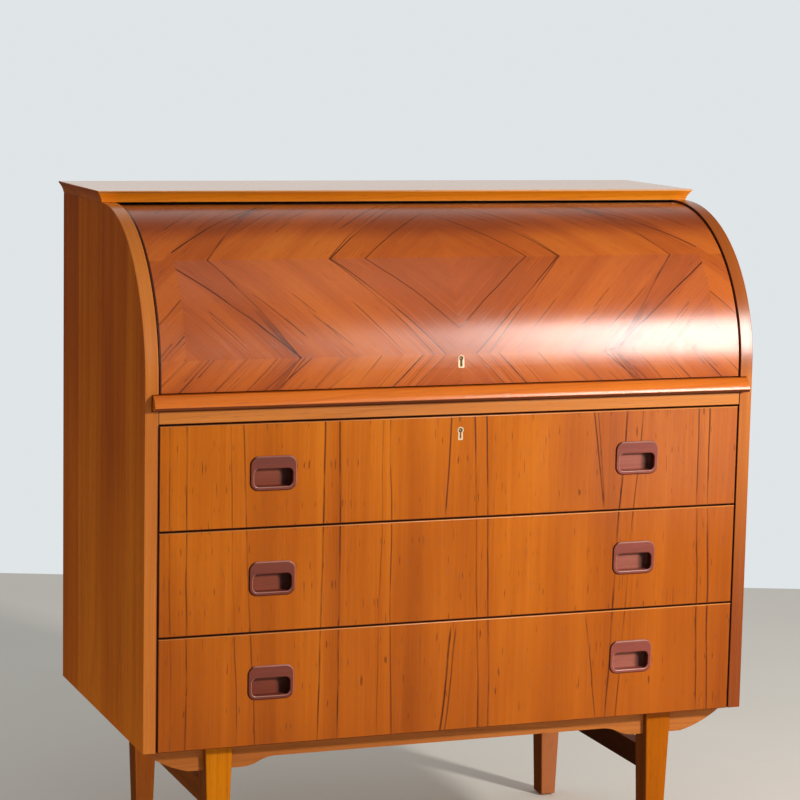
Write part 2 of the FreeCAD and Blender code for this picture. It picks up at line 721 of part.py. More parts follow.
def gallery_upright(x0):
    """A thin upright whose back edge follows the cylinder."""
    high = angle_at(GALLERY_R, GALLERY_TOP)
    low = angle_at(GALLERY_R, GALLERY_FLOOR)
    return along_x(
        x0, x0 + GALLERY_T,
        (GALLERY_FRONT, GALLERY_FLOOR),
        (GALLERY_FRONT, GALLERY_TOP),
        round_about(GALLERY_R, high),
        arc_about(GALLERY_R, high, low),
    )


def gallery_uprights():
    inner = gallery_upright(GALLERY_BAY / 2)
    outer = gallery_upright(GALLERY_END - GALLERY_T)
    return both_sides(inner) + both_sides(outer)


def gallery_shelf(x0, x1, up):
    top = GALLERY_FLOOR + up + GALLERY_T
    y1 = inside_gallery(top) - SHELF_BACK_GAP
    return slab(x0, x1, GALLERY_FRONT, y1, top - GALLERY_T, top)


def gallery_shelves():
    bay = GALLERY_BAY / 2
    middle = gallery_shelf(-bay, bay, MIDDLE_SHELF_UP)
    return both_sides(gallery_shelf(bay + GALLERY_T, GALLERY_END - GALLERY_T, SHELF_UP)) + [middle]


def gallery_top():
    high = GALLERY_TOP + GALLERY_T
    return slab(-GALLERY_END, GALLERY_END, GALLERY_FRONT, inside_gallery(high), GALLERY_TOP, high)


def gallery_back():
    """A bent sheet that keeps papers out of the fall's way."""
    high = angle_at(GALLERY_BACK_R, GALLERY_TOP)
    inner_low = angle_at(GALLERY_R, GALLERY_FLOOR)
    outer_low = angle_at(GALLERY_BACK_R, GALLERY_FLOOR)
    inner_high = angle_at(GALLERY_R, GALLERY_TOP)
    return along_x(
        -GALLERY_END, GALLERY_END,
        round_about(GALLERY_R, inner_high),
        arc_about(GALLERY_R, inner_high, inner_low),
        round_about(GALLERY_BACK_R, outer_low),
        arc_about(GALLERY_BACK_R, outer_low, high),
    )


def tray_span():
    return GALLERY_BAY / 2 + GALLERY_T + TRAY_GAP, GALLERY_END - GALLERY_T - TRAY_GAP


def tray_low():
    return GALLERY_FLOOR + TRAY_GAP


def knob_place():
    x0, x1 = tray_span()
    return (x0 + x1) / 2, GALLERY_FLOOR + SHELF_UP / 2


def tray_front():
    x0, x1 = tray_span()
    high = GALLERY_FLOOR + SHELF_UP - TRAY_GAP
    front = slab(x0, x1, GALLERY_FRONT, GALLERY_FRONT + TRAY_FRONT_T, tray_low(), high)
    x, z = knob_place()
    hole = rod(KNOB_STEM_R + KNOB_FIT, vec(x, GALLERY_FRONT, z), vec(0, 1, 0), TRAY_FRONT_T)
    return front.cut(hole)


def tray_box():
    """A small drawer's sides, back and bottom."""
    x0, x1 = tray_span()
    y0 = GALLERY_FRONT + TRAY_FRONT_T
    y1 = inside_gallery(GALLERY_FLOOR + SHELF_UP) - TRAY_BACK_GAP
    low = tray_low()
    high = GALLERY_FLOOR + SHELF_UP - TRAY_GAP - TRAY_RIM
    floor = low + TRAY_BOTTOM_T
    bottom = slab(x0, x1, y0, y1, low, floor)
    inner = slab(x0, x0 + TRAY_T, y0, y1, floor, high)
    outer = slab(x1 - TRAY_T, x1, y0, y1, floor, high)
    back = slab(x0 + TRAY_T, x1 - TRAY_T, y1 - TRAY_T, y1, floor, high)
    return [bottom, inner, outer, back]


def tray_knob():
    """A turned knob with a stem through the small drawer's front."""
    x, z = knob_place()
    y = GALLERY_FRONT
    tip = y - KNOB_LENGTH
    shoulder = y - KNOB_NECK
    face = outline(
        lambda r, along: vec(x + r, along, z),
        (0, y + TRAY_FRONT_T),
        (KNOB_STEM_R, y + TRAY_FRONT_T),
        (KNOB_STEM_R, y),
        (KNOB_NECK_R, y),
        (KNOB_NECK_R, shoulder),
        ((KNOB_R, (shoulder + tip) / 2), (KNOB_NECK_R, tip)),
        (0, tip),
    )
    return face.revolve(vec(x, y, z), vec(0, 1, 0), 360)


def leg(x, y):
    """A leg tapered on all four faces."""
    def ring(width, depth, z):
        a, b = width / 2, depth / 2
        corners = [(x - a, y - b), (x + a, y - b), (x + a, y + b), (x - a, y + b), (x - a, y - b)]
        return Part.makePolygon([vec(px, py, z) for px, py in corners])

    foot = ring(LEG_FOOT_X, LEG_FOOT_Y, GLIDE_T)
    head = ring(LEG_TOP_X, LEG_TOP_Y, BASE_HEIGHT)
    body = Part.makeLoft([foot, head], True, True)
    long_edges = [e for e in body.Edges if e.BoundBox.ZLength > BASE_HEIGHT / 2]
    return body.makeFillet(LEG_EDGE, long_edges)


def bridle_leg(x, y, apron_y):
    """A leg slotted at the top for the apron that passes through it."""
    x0 = x - LEG_TOP_X
    x1 = x + LEG_TOP_X
    slot = slab(x0, x1, apron_y, apron_y + APRON_T, BASE_HEIGHT - APRON_LEG_H, BASE_HEIGHT)
    return leg(x, y).cut(slot)


def ogee(x0, z0, x1, z1):
    """Two equal arcs from one level to another, level at both ends."""
    half_x = (x1 - x0) / 2
    half_z = (z1 - z0) / 2
    turn = 2 * math.atan2(abs(half_z), abs(half_x))
    radius = abs(half_x) / math.sin(turn)
    step_x = math.copysign(radius * math.sin(turn / 2), half_x)
    step_z = math.copysign(radius * (1 - math.cos(turn / 2)), half_z)
    middle = (x0 + half_x, z0 + half_z)
    return ((x0 + step_x, z0 + step_z), middle), ((x1 - step_x, z1 - step_z), (x1, z1))


def apron(y0):
    """A shaped rail through two legs: shallow in the middle, deeper at the legs, swept up at the ends."""
    top = BASE_HEIGHT
    deep = top - APRON_LEG_H
    shallow = top - APRON_MID_H
    tip = top - APRON_TIP_H
    tip_x = WIDTH / 2 - APRON_TIP_INSET
    flat_x = LEG_X + LEG_TOP_X / 2 + APRON_OUTER_FLAT
    shoulder = LEG_X - LEG_TOP_X / 2 - APRON_SHOULDER
    run = math.hypot(tip_x - flat_x, tip - deep)
    swell_x = (flat_x + tip_x) / 2 + APRON_SWEEP_SAG * (tip - deep) / run
    swell_z = (deep + tip) / 2 - APRON_SWEEP_SAG * (tip_x - flat_x) / run
    left_up = ogee(-shoulder, deep, -shoulder + APRON_OGEE, shallow)
    right_down = ogee(shoulder - APRON_OGEE, shallow, shoulder, deep)
    return along_y(
        y0, y0 + APRON_T,
        (-tip_x, top),
        (-tip_x, tip),
        ((-swell_x, swell_z), (-flat_x, deep)),
        (-shoulder, deep),
        *left_up,
        (shoulder - APRON_OGEE, shallow),
        *right_down,
        (flat_x, deep),
        ((swell_x, swell_z), (tip_x, tip)),
        (tip_x, top),
    )


def stretcher(x):
    """A rail between the front and back legs, cut to their sloping faces."""
    top = BASE_HEIGHT - STRETCHER_DOWN
    half = STRETCHER_T / 2
    rail = slab(x - half, x + half, LEG_FRONT_Y, LEG_BACK_Y, top - STRETCHER_H, top)
    return rail.cut([leg(x, LEG_FRONT_Y), leg(x, LEG_BACK_Y)]).Solids[0]


def block_centres():
    x = LEG_X - LEG_TOP_X / 2 - BLOCK_LEG_GAP - BLOCK_LENGTH / 2
    front = FRONT_APRON_Y + APRON_T + BLOCK_DEPTH / 2
    back = BACK_APRON_Y - BLOCK_DEPTH / 2
    return [(side * x, y) for y in (front, back) for side in (-1, 1)]


def block_screws(gap=0.0):
    start = BASE_HEIGHT - BLOCK_H
    return [screw(vec(x, y, start), vec(0, 0, 1), BLOCK_H, gap) for x, y in block_centres()]


def corner_blocks():
    """Blocks that hold the aprons to the carcase."""
    a, b = BLOCK_LENGTH / 2, BLOCK_DEPTH / 2
    low = BASE_HEIGHT - BLOCK_H
    blocks = [slab(x - a, x + a, y - b, y + b, low, BASE_HEIGHT) for x, y in block_centres()]
    return [block.cut(block_screws(SCREW_FIT)) for block in blocks]


def foot_glides():
    places = [(x, y) for y in (LEG_FRONT_Y, LEG_BACK_Y) for x in (-LEG_X, LEG_X)]
    return [rod(GLIDE_R, vec(x, y, 0), vec(0, 0, 1), GLIDE_T) for x, y in places]


numbers = range(1, DRAWER_COUNT + 1)
pieces = {
    "side_panel_left": [side_panel(-1)],
    "side_panel_right": [side_panel(1)],
    "top_board": [top_board()],
    "back_panel": [back_panel()],
    "back_panel_screws": back_screws(),
    "bottom_board": [bottom_board()],
    "front_rail": [front_rail()],
    "rear_rail": [rear_rail()],
    "dust_panel": [dust_groove()],
    "slide_runners": both_sides(slide_runner()),
    "drawer_runners": [s for n in numbers for s in both_sides(drawer_runner(n))],
    "fall_pivot_pins": both_sides(fall_pin()),
    "fall_stops": fall_stops(),
    "gallery_base": [gallery_base()],
    "gallery_uprights": gallery_uprights(),
    "gallery_shelves": gallery_shelves(),
    "gallery_top": [gallery_top()],
    "gallery_back": [gallery_back()],
    "leg_front_left": [bridle_leg(-LEG_X, LEG_FRONT_Y, FRONT_APRON_Y)],
    "leg_front_right": [bridle_leg(LEG_X, LEG_FRONT_Y, FRONT_APRON_Y)],
    "leg_back_left": [bridle_leg(-LEG_X, LEG_BACK_Y, BACK_APRON_Y)],
    "leg_back_right": [bridle_leg(LEG_X, LEG_BACK_Y, BACK_APRON_Y)],
    "front_apron": [apron(FRONT_APRON_Y)],
    "back_apron": [apron(BACK_APRON_Y)],
    "side_stretchers": [stretcher(-LEG_X), stretcher(LEG_X)],
    "corner_blocks": corner_blocks(),
    "corner_block_screws": block_screws(),
    "foot_glides": foot_glides(),
    "cylinder_fall": [cylinder_fall()],
    "fall_cheeks": both_sides(fall_cheek()),
    "fall_bushes": both_sides(fall_bush()),
    "fall_lock_case": [fall_lock_case()],
    "fall_keyhole_plate": [fall_plate()],
    "fall_lock_bolt": [bolt(fall_bolt_front(), FALL_LOW)],
    "writing_slide": [writing_slide()],
    "slide_lip": [slide_lip()],
    "slide_stops": both_sides(slide_stop()),
    "strike_plate": [strike_plate()],
    "drawer_lock_case": [drawer_lock_case()],
    "drawer_keyhole_plate": [drawer_plate()],
    "drawer_lock_bolt": [bolt(drawer_bolt_front(), drawer_lock_top() - BOLT_H)],
    "tray_left_front": [mirrored(tray_front())],
    "tray_left_box": [mirrored(s) for s in tray_box()],
    "tray_left_knob": [mirrored(tray_knob())],
    "tray_right_front": [tray_front()],
    "tray_right_box": tray_box(),
    "tray_right_knob": [tray_knob()],
}
for n in numbers:
    pieces[f"drawer_{n}_front"] = [drawer_front(n)]
    pieces[f"drawer_{n}_box"] = drawer_box(n)
    pieces[f"drawer_{n}_bottom"] = [box_bottom(n)]
    pieces[f"drawer_{n}_pulls"] = [pull(x, z) for x, z in pull_places(n)]

os.makedirs("parts", exist_ok=True)
for name, solids in pieces.items():
    shape = Part.makeCompound(solids) if len(solids) > 1 else solids[0]
    shape.exportStep(f"parts/{name}.step")
print(len(pieces), "nodes;", sum(len(s) for s in pieces.values()), "pieces")
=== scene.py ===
import json
import math

import bmesh
import bpy
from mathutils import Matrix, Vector


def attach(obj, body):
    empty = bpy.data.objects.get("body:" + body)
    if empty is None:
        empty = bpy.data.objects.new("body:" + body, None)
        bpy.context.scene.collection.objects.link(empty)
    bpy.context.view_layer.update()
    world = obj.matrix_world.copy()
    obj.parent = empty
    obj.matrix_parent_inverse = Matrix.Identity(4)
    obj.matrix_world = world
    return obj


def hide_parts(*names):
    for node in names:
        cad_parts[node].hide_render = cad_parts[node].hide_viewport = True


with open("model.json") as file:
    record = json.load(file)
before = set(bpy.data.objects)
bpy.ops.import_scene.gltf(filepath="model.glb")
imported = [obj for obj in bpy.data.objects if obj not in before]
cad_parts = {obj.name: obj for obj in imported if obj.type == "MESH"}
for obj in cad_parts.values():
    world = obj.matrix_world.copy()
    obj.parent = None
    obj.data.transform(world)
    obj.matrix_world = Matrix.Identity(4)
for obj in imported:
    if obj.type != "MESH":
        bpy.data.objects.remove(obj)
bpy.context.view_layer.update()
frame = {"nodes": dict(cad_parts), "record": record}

# The room: a plain pale floor that stops at a plain pale wall, low sun from the right of the sitter, the
# window that shiny wood mirrors and even light all round. The camera stands where the picture was taken.
scene = bpy.context.scene
scene.view_settings.view_transform = "Standard"
lens = bpy.data.cameras.new("camera")
lens.lens = 119.12
lens.sensor_width = 36.0
camera = bpy.data.objects.new("camera", lens)
camera.location = (-1.36489, -3.56387, 1.21189)
camera.rotation_euler = [math.radians(turn) for turn in (82.0112, -1.1292, -20.7038)]
scene.collection.objects.link(camera)
scene.camera = camera


def lay_down(tree, kind, feeds=None, **settings):
    """Adds one node to a finish; feeds are plain values or what comes out of other nodes."""
    node = tree.nodes.new("ShaderNode" + kind)
    for name, value in settings.items():
        setattr(node, name, value)
    for place, value in (feeds or {}).items():
        if isinstance(value, bpy.types.NodeSocket):
            tree.links.new(value, node.inputs[place])
        else:
            node.inputs[place].default_value = value
    return node


def reckon(tree, how, *values):
    """A sum on one or more values."""
    return lay_down(tree, "Math", dict(enumerate(values)), operation=how).outputs[0]


def figure(tree, where, stretch, detail=2.0, rough=0.5):
    """A soft random figure, finer where the stretch is larger."""
    spread = lay_down(tree, "VectorMath", {0: where, 1: stretch}, operation="MULTIPLY").outputs[0]
    return lay_down(tree, "TexNoise", {"Vector": spread, "Scale": 1.0, "Detail": detail,
                                       "Roughness": rough}).outputs[0]


def fit(tree, value, low, high, at_low, at_high):
    """Carries a value smoothly from one range into another."""
    node = lay_down(tree, "MapRange", {0: value, 1: low, 2: high, 3: at_low, 4: at_high},
                    interpolation_type="SMOOTHSTEP")
    return node.outputs[0]


def stain(tree, amount, under, over, how="MIX"):
    """Lays one colour over another."""
    node = lay_down(tree, "Mix", {0: amount}, data_type="RGBA", blend_type=how)
    for place, colour in ((6, under), (7, over)):
        if isinstance(colour, bpy.types.NodeSocket):
            tree.links.new(colour, node.inputs[place])
        else:
            node.inputs[place].default_value = (*colour, 1.0)
    return node.outputs[2]


def shade_card(tree, value, shades, step="LINEAR"):
    """Picks a colour for a value from a row of shades."""
    ramp = lay_down(tree, "ValToRGB", {0: value})
    card = ramp.color_ramp
    card.interpolation = step
    while len(card.elements) < len(shades):
        card.elements.new(0.5)
    for element, (place, colour) in zip(card.elements, shades):
        element.position = place
    for element, (place, colour) in zip(card.elements, shades):
        element.color = (*colour, 1.0)
    return ramp.outputs[0]


def new_finish(name):
    finish = bpy.data.materials.new(name)
    finish.use_nodes = True
    tree = finish.node_tree
    return finish, tree, tree.nodes["Principled BSDF"]


FLOOR_REACH = 1.936
FLOOR_TURN = math.radians(-20.86)
floor_mesh = bpy.data.meshes.new("floor")
floor_shape = bmesh.new()
corners = []
for right, back in ((-1, -1), (1, -1), (1, 1), (-1, 1)):
    across_floor = FLOOR_REACH * (right * math.cos(FLOOR_TURN) - back * math.sin(FLOOR_TURN))
    along_floor = FLOOR_REACH * (right * math.sin(FLOOR_TURN) + back * math.cos(FLOOR_TURN))
    corners.append(floor_shape.verts.new((across_floor, along_floor, 0.0)))
floor_shape.faces.new(corners)
floor_shape.to_mesh(floor_mesh)
floor = bpy.data.objects.new("floor", floor_mesh)
scene.collection.objects.link(floor)
floor_finish, tree, shader = new_finish("floor_paint")
spot = lay_down(tree, "TexCoord").outputs["Object"]
mottle = figure(tree, spot, (3.0, 3.0, 3.0), 3.0)
paint = stain(tree, mottle, (0.84, 0.785, 0.70), (0.89, 0.84, 0.755))
seen_in_gloss = lay_down(tree, "LightPath").outputs["Is Glossy Ray"]
tree.links.new(stain(tree, seen_in_gloss, paint, (0.05, 0.045, 0.04)), shader.inputs["Base Color"])
shader.inputs["Roughness"].default_value = 0.9
shader.inputs["Specular IOR Level"].default_value = 0.0
floor_mesh.materials.append(floor_finish)

LIT_SPOT = Vector((0.27, -0.21, 0.79))


def lamp(name, place, wide, tall, power):
    """A flat lamp that faces the lit spot, unseen by the camera."""
    shine = bpy.data.lights.new(name, "AREA")
    shine.shape = "RECTANGLE"
    shine.size = wide
    shine.size_y = tall
    shine.energy = power
    shine.color = (1.0, 0.985, 0.95)
    stand = bpy.data.objects.new(name, shine)
    stand.location = place
    stand.rotation_euler = (LIT_SPOT - Vector(place)).to_track_quat("-Z", "Y").to_euler()
    stand.visible_camera = False
    scene.collection.objects.link(stand)
    return stand


sun = lamp("sun", (1.542, -2.281, 1.376), wide=0.24, tall=0.18, power=63.0)
sun.visible_glossy = False
window = lamp("window", (1.930, -3.070, 1.645), wide=0.85, tall=1.42, power=92.0)
window.visible_diffuse = False

WALL_SHADE = (0.745, 0.785, 0.805)
WALL_FOOT = (0.98, 0.95, 0.90)
WALL_HEAD = (0.71, 0.70, 0.68)
DIM_ROOM = (0.07, 0.065, 0.06)
room = bpy.data.worlds.new("room")
scene.world = room
room.use_nodes = True
tree = room.node_tree
sight = lay_down(tree, "LightPath")
way = lay_down(tree, "TexCoord").outputs["Generated"]
right, back, up = lay_down(tree, "SeparateXYZ", {0: way}).outputs
wall_behind = reckon(tree, "MULTIPLY", fit(tree, back, 0.56, 0.82, 0.0, 1.0),
                     fit(tree, up, -0.02, 0.14, 0.0, 1.0))
ceiling = reckon(tree, "MULTIPLY", fit(tree, up, 0.66, 0.84, 0.0, 0.22),
                 fit(tree, back, -0.45, -0.1, 1.0, 0.0))
bright = reckon(tree, "MAXIMUM", wall_behind, ceiling)
lit_wall = stain(tree, fit(tree, up, 0.16, 0.34, 0.0, 1.0), WALL_FOOT, WALL_HEAD)
glimpse = stain(tree, bright, DIM_ROOM, lit_wall)
mirrored = reckon(tree, "MAXIMUM", sight.outputs["Is Glossy Ray"], sight.outputs["Is Transmission Ray"])
overhead = stain(tree, fit(tree, up, 0.0, 0.9, 0.0, 1.0), (0.15, 0.155, 0.16), (0.53, 0.55, 0.57))
light = stain(tree, mirrored, overhead, glimpse)
shown = stain(tree, sight.outputs["Is Camera Ray"], light, WALL_SHADE)
tree.links.new(shown, tree.nodes["Background"].inputs["Color"])

# The two side panels: boards with teak veneer laid on both faces in four upright leaves, and a
# solid teak edging bent round the quarter-round front. The slide's lip is let into a stopped notch.
nodes = frame["nodes"]
body_of = {node: body for body, held in frame["record"]["behaviour"]["bodies"].items() for node in held}
AXIS_Y = 0.0045
AXIS_Z = 0.7406
SIDE_RADIUS = 0.2245
SIDE_INNER = 0.4310
DRAWERS_TOP = 0.6856
GAP_SHADE_FULL = 0.0010
GAP_SHADE_FADED = 0.0018
EDGING_BROWN = (0.25, 0.036, 0.001)


def timber(name, lay, tones, band=(38.0, 0.9), cloud=0.5, fibre=0.2, pores=0.35, rings=0.3, marks=None,
           flecks=0.0, threads=0.25, bold=0.95, streak=(0.085, 0.016, 0.005), satin=0.40, gloss=0.3,
           coat=0.0):
    """A timber finish. lay is the axis that the grain follows, or a function that gives the places
    across, along and through the grain; tones run from the deepest to the lightest. marks is a function
    that gives a shift of tone, how dark the streaks are, and any washes of colour with their amounts."""
    finish, tree, shader = new_finish(name)
    spot = lay_down(tree, "TexCoord").outputs["Object"]
    x, y, z = lay_down(tree, "SeparateXYZ", {0: spot}).outputs
    if callable(lay):
        across, along, through = lay(tree, x, y, z)
    else:
        across, along, through = {"X": (z, x, y), "Y": (x, y, z), "Z": (x, z, y)}[lay]
    straight = lay_down(tree, "CombineXYZ", {0: across, 1: through, 2: along}).outputs[0]
    sway = figure(tree, straight, (6.0, 6.0, 1.3))
    swayed = reckon(tree, "MULTIPLY_ADD", sway, 0.016, across)
    grain = lay_down(tree, "CombineXYZ", {0: swayed, 1: through, 2: along}).outputs[0]
    broad = figure(tree, grain, (band[0], band[0], band[1]), 3.0, 0.55)
    patch = figure(tree, straight, (4.5, 4.5, 2.2))
    fine = figure(tree, grain, (430.0, 430.0, 6.0))
    pore = fit(tree, figure(tree, grain, (1500.0, 1500.0, 42.0), 1.0), 0.6, 0.74, 0.0, pores)
    growth = reckon(tree, "MULTIPLY", figure(tree, grain, (11.0, 11.0, 0.4), 1.0), 95.0)
    ring = fit(tree, reckon(tree, "SINE", growth), 0.8, 1.0, 0.0, rings)
    tone = reckon(tree, "MULTIPLY_ADD", broad, bold, 0.5 - (bold + cloud + fibre) / 2)
    tone = reckon(tree, "MULTIPLY_ADD", patch, cloud, tone)
    tone = reckon(tree, "MULTIPLY_ADD", fine, fibre, tone)
    line, washes = None, ()
    if marks:
        shift, line, *washes = marks(tree, swayed, along, x, y, z)
        tone = reckon(tree, "ADD", tone, shift)
    colour = shade_card(tree, tone, list(zip((0.2, 0.42, 0.58, 0.8), tones)))
    for amount, shade in washes:
        colour = stain(tree, amount, colour, shade)
    colour = stain(tree, ring, colour, tones[0])
    colour = stain(tree, pore, colour, streak)
    thread = fit(tree, figure(tree, grain, (560.0, 560.0, 4.5), 2.0), 0.60, 0.72, 0.0, threads)
    gathered = fit(tree, figure(tree, straight, (16.0, 16.0, 2.5), 1.0), 0.45, 0.68, 0.0, 1.0)
    colour = stain(tree, reckon(tree, "MULTIPLY", thread, gathered), colour, streak)
    if flecks:
        fleck = fit(tree, figure(tree, grain, (420.0, 420.0, 36.0), 0.0), 0.75, 0.82, 0.0, flecks)
        colour = stain(tree, fleck, colour, streak)
    if line is not None:
        colour = stain(tree, line, colour, streak)
    tree.links.new(colour, shader.inputs["Base Color"])
    dull = reckon(tree, "MULTIPLY_ADD", fine, 0.14, satin - 0.07)
    tree.links.new(reckon(tree, "MULTIPLY_ADD", pore, 0.2, dull), shader.inputs["Roughness"])
    height = reckon(tree, "SUBTRACT", reckon(tree, "MULTIPLY", fine, 0.5), pore)
    bump = lay_down(tree, "Bump", {"Height": height, "Strength": 0.25, "Distance": 0.0003})
    tree.links.new(bump.outputs[0], shader.inputs["Normal"])
    shader.inputs["Specular IOR Level"].default_value = gloss
    shader.inputs["Coat Weight"].default_value = coat
    shader.inputs["Coat Roughness"].default_value = 0.18
    return finish


SHARP = math.radians(26)


def eased(node, ease, *finishes, choose=None, arris=None, least=0.006):
    """A clean copy of a piece with its long arrises eased, in place of the plain one. choose says which
    finish a face takes from the way it faces and its middle, and arris does so for the eased edges."""
    shape = bmesh.new()
    shape.from_mesh(nodes[node].data)
    bmesh.ops.remove_doubles(shape, verts=shape.verts, dist=1e-6)
    bmesh.ops.dissolve_limit(shape, angle_limit=math.radians(0.3), verts=shape.verts, edges=shape.edges)
    for face in shape.faces:
        face.material_index = choose(face.normal, face.calc_center_median()) if choose else 0
    arrises = [edge for edge in shape.edges if edge.is_manifold and edge.is_convex
               and edge.calc_face_angle(0.0) > SHARP and edge.calc_length() > least]
    rounded = ()
    if ease:
        rounded = bmesh.ops.bevel(shape, geom=arrises, offset=ease, offset_type="OFFSET", segments=2,
                                  profile=0.5, affect="EDGES", clamp_overlap=True, material=-1)["faces"]
        for face in rounded if arris else ():
            face.material_index = arris(face.normal)
    return shown_as(shape, node, finishes, rounded)


def shown_as(shape, node, finishes, rounded=()):
    """Turns a finished shape into the piece that stands for a node and moves with its body. Rounded faces
    and those of a curve are shaded smooth, and meet flat ones at a crisp line."""
    rounded = set(rounded)
    for edge in shape.edges:
        of_round = sum(face in rounded for face in edge.link_faces)
        edge.smooth = of_round == 2 or of_round == 0 and edge.calc_face_angle(0.0) < SHARP
    for face in shape.faces:
        face.smooth = face in rounded or any(edge.smooth and edge.calc_face_angle(0.0) > 0.002
                                             for edge in face.edges)
    mesh = bpy.data.meshes.new(node + "_finished")
    shape.to_mesh(mesh)
    shape.free()
    for finish in finishes:
        mesh.materials.append(finish)
    piece = bpy.data.objects.new(node + "_finished", mesh)
    scene.collection.objects.link(piece)
    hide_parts(node)
    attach(piece, body_of[node])
    return piece


def tone_of_strips(tree, place, strips, low, span, step="LINEAR"):
    """The tone at one place on a row of veneer strips, each given by where it starts and its grey."""
    along_card = reckon(tree, "MULTIPLY_ADD", place, 1 / span, -low / span)
    card = [((start - low) / span, (grey,) * 3) for start, grey in strips]
    return lay_down(tree, "RGBToBW", {0: shade_card(tree, along_card, card, step)}).outputs[0]


LEAVES_LOW = -0.25
LEAVES_SPAN = 0.5
SIDE_LEAVES = ((-0.25, 0.54), (-0.128, 0.47), (0.006, 0.58), (0.14, 0.36))


def side_leaves(tree, across, along, x, y, z):
    """Four leaves of veneer side by side, each of its own tone; the right panel's are darker, and painted
    light makes all of them lighter towards the foot, as if lit from the floor.
    """
    leaf = tone_of_strips(tree, y, SIDE_LEAVES, LEAVES_LOW, LEAVES_SPAN, "CONSTANT")
    # painted light: the tone rises towards the foot, standing for light bounced up from the floor
    painted_bounce_below = reckon(tree, "MULTIPLY_ADD", z, -0.40, -0.16)
    darker_right = fit(tree, x, -0.1, 0.1, 0.0, -0.2)
    return reckon(tree, "ADD", leaf, reckon(tree, "ADD", painted_bounce_below, darker_right)), None


def round_the_front(tree, x, y, z):
    """Grain that follows the panel's edge up the front and round the quarter-round."""
    rise = reckon(tree, "SUBTRACT", z, AXIS_Z)
    forward = reckon(tree, "SUBTRACT", AXIS_Y, y)
    bent = reckon(tree, "MULTIPLY", reckon(tree, "ARCTAN2", rise, forward), SIDE_RADIUS)
    above = reckon(tree, "GREATER_THAN", rise, 0.0)
    along = reckon(tree, "ADD", reckon(tree, "MULTIPLY", above, bent), reckon(tree, "MINIMUM", rise, 0.0))
    up_curve = reckon(tree, "POWER", reckon(tree, "MAXIMUM", rise, 0.0), 2.0)
    out = reckon(tree, "SQRT", reckon(tree, "ADD", up_curve, reckon(tree, "POWER", forward, 2.0)))
    return x, along, out


side_tones = ((0.34, 0.054, 0.003), (0.52, 0.096, 0.003), (0.66, 0.142, 0.003), (0.80, 0.20, 0.006))
side_veneer = timber("side_veneer", "Z", side_tones, bold=0.6, rings=0.15, marks=side_leaves,
                     satin=0.55, gloss=0.06)


def face_or_edge(way, middle):
    """The veneered outside of a panel, its front and lower edges, and its inside, darkened as painted
    shade.
    """
    if abs(way.x) > 0.7:
        return 0 if way.x * middle.x > 0.0 else 2
    return 1


def edging_marks(tree, across, along, x, y, z):
    """The right edging is of darker wood round the curve and towards the foot, and the left one's arris
    beside the drawers carries a painted shade line for the gap there."""
    # painted shade: a dark line on the left edging's inner arris beside the drawers, standing for the
    # shaded gap
    gap_shade_line = fit(tree, x, -SIDE_INNER - GAP_SHADE_FADED, -SIDE_INNER - GAP_SHADE_FULL, 0.0, 0.9)
    gap_shade_line = reckon(tree, "MULTIPLY", gap_shade_line, reckon(tree, "LESS_THAN", x, 0.0))
    gap_shade_line = reckon(tree, "MULTIPLY", gap_shade_line, reckon(tree, "LESS_THAN", z, DRAWERS_TOP))
    on_curve = fit(tree, z, AXIS_Z - 0.03, AXIS_Z + 0.02, 0.0, 1.0)
    at_foot = fit(tree, z, 0.33, 0.72, 0.86, 0.12)
    browned = reckon(tree, "MAXIMUM", reckon(tree, "MULTIPLY", on_curve, 0.65), at_foot)
    browned = reckon(tree, "MULTIPLY", browned, fit(tree, x, -0.1, 0.1, 0.0, 1.0))
    return 0.0, gap_shade_line, (browned, EDGING_BROWN)


edging_tones = ((0.44, 0.096, 0.010), (0.56, 0.147, 0.014), (0.66, 0.191, 0.018), (0.74, 0.245, 0.026))
side_edging = timber("side_edging", round_the_front, edging_tones, bold=0.45, cloud=0.3, rings=0.15,
                     pores=0.12, marks=edging_marks, satin=0.26, gloss=0.75)
# painted shade: the panels' inside faces are near black, so the gaps beside the fall and drawers read
# dark
inside_shade_tones = ((0.07, 0.018, 0.006), (0.10, 0.026, 0.008), (0.13, 0.035, 0.011), (0.17, 0.05, 0.016))
side_inside_shade = timber("side_inside_shade", "Z", inside_shade_tones, gloss=0.1)
for side in ("left", "right"):
    eased(f"side_panel_{side}", 0.0008, side_veneer, side_edging, side_inside_shade, choose=face_or_edge)

# The boards and rails inside the case: bare pine sawn square and a plywood dust panel, housed and glued
# between the side panels, with a teak front rail that shows above the drawers.
pine_tones = ((0.42, 0.25, 0.11), (0.52, 0.33, 0.16), (0.60, 0.40, 0.20), (0.68, 0.48, 0.27))
ply_tones = ((0.36, 0.19, 0.075), (0.45, 0.25, 0.10), (0.52, 0.30, 0.13), (0.60, 0.37, 0.17))
rail_tones = ((0.47, 0.128, 0.014), (0.61, 0.18, 0.020), (0.71, 0.225, 0.028), (0.80, 0.285, 0.042))
shade_edge_tones = ((0.10, 0.022, 0.004), (0.14, 0.030, 0.006), (0.18, 0.040, 0.008), (0.24, 0.055, 0.012))


def pine(name, lay):
    """Bare sanded pine."""
    return timber(name, lay, pine_tones, satin=0.6, pores=0.15, streak=(0.25, 0.13, 0.05))


def plywood(name, lay):
    """Bare sanded plywood."""
    return timber(name, lay, ply_tones, satin=0.55, pores=0.2, streak=(0.2, 0.1, 0.04))


def dress(finish, *names):
    """Gives a finish to pieces that keep their plain shape."""
    for name in names:
        for slot in nodes[name].material_slots:
            slot.material = finish


def shaded_arrises(way):
    """The rail's arrises take painted shade, standing for the shadow line under the lip."""
    return 1


rail_teak = timber("rail_teak", "X", rail_tones, bold=0.6, threads=0.4, satin=0.30, gloss=0.6)
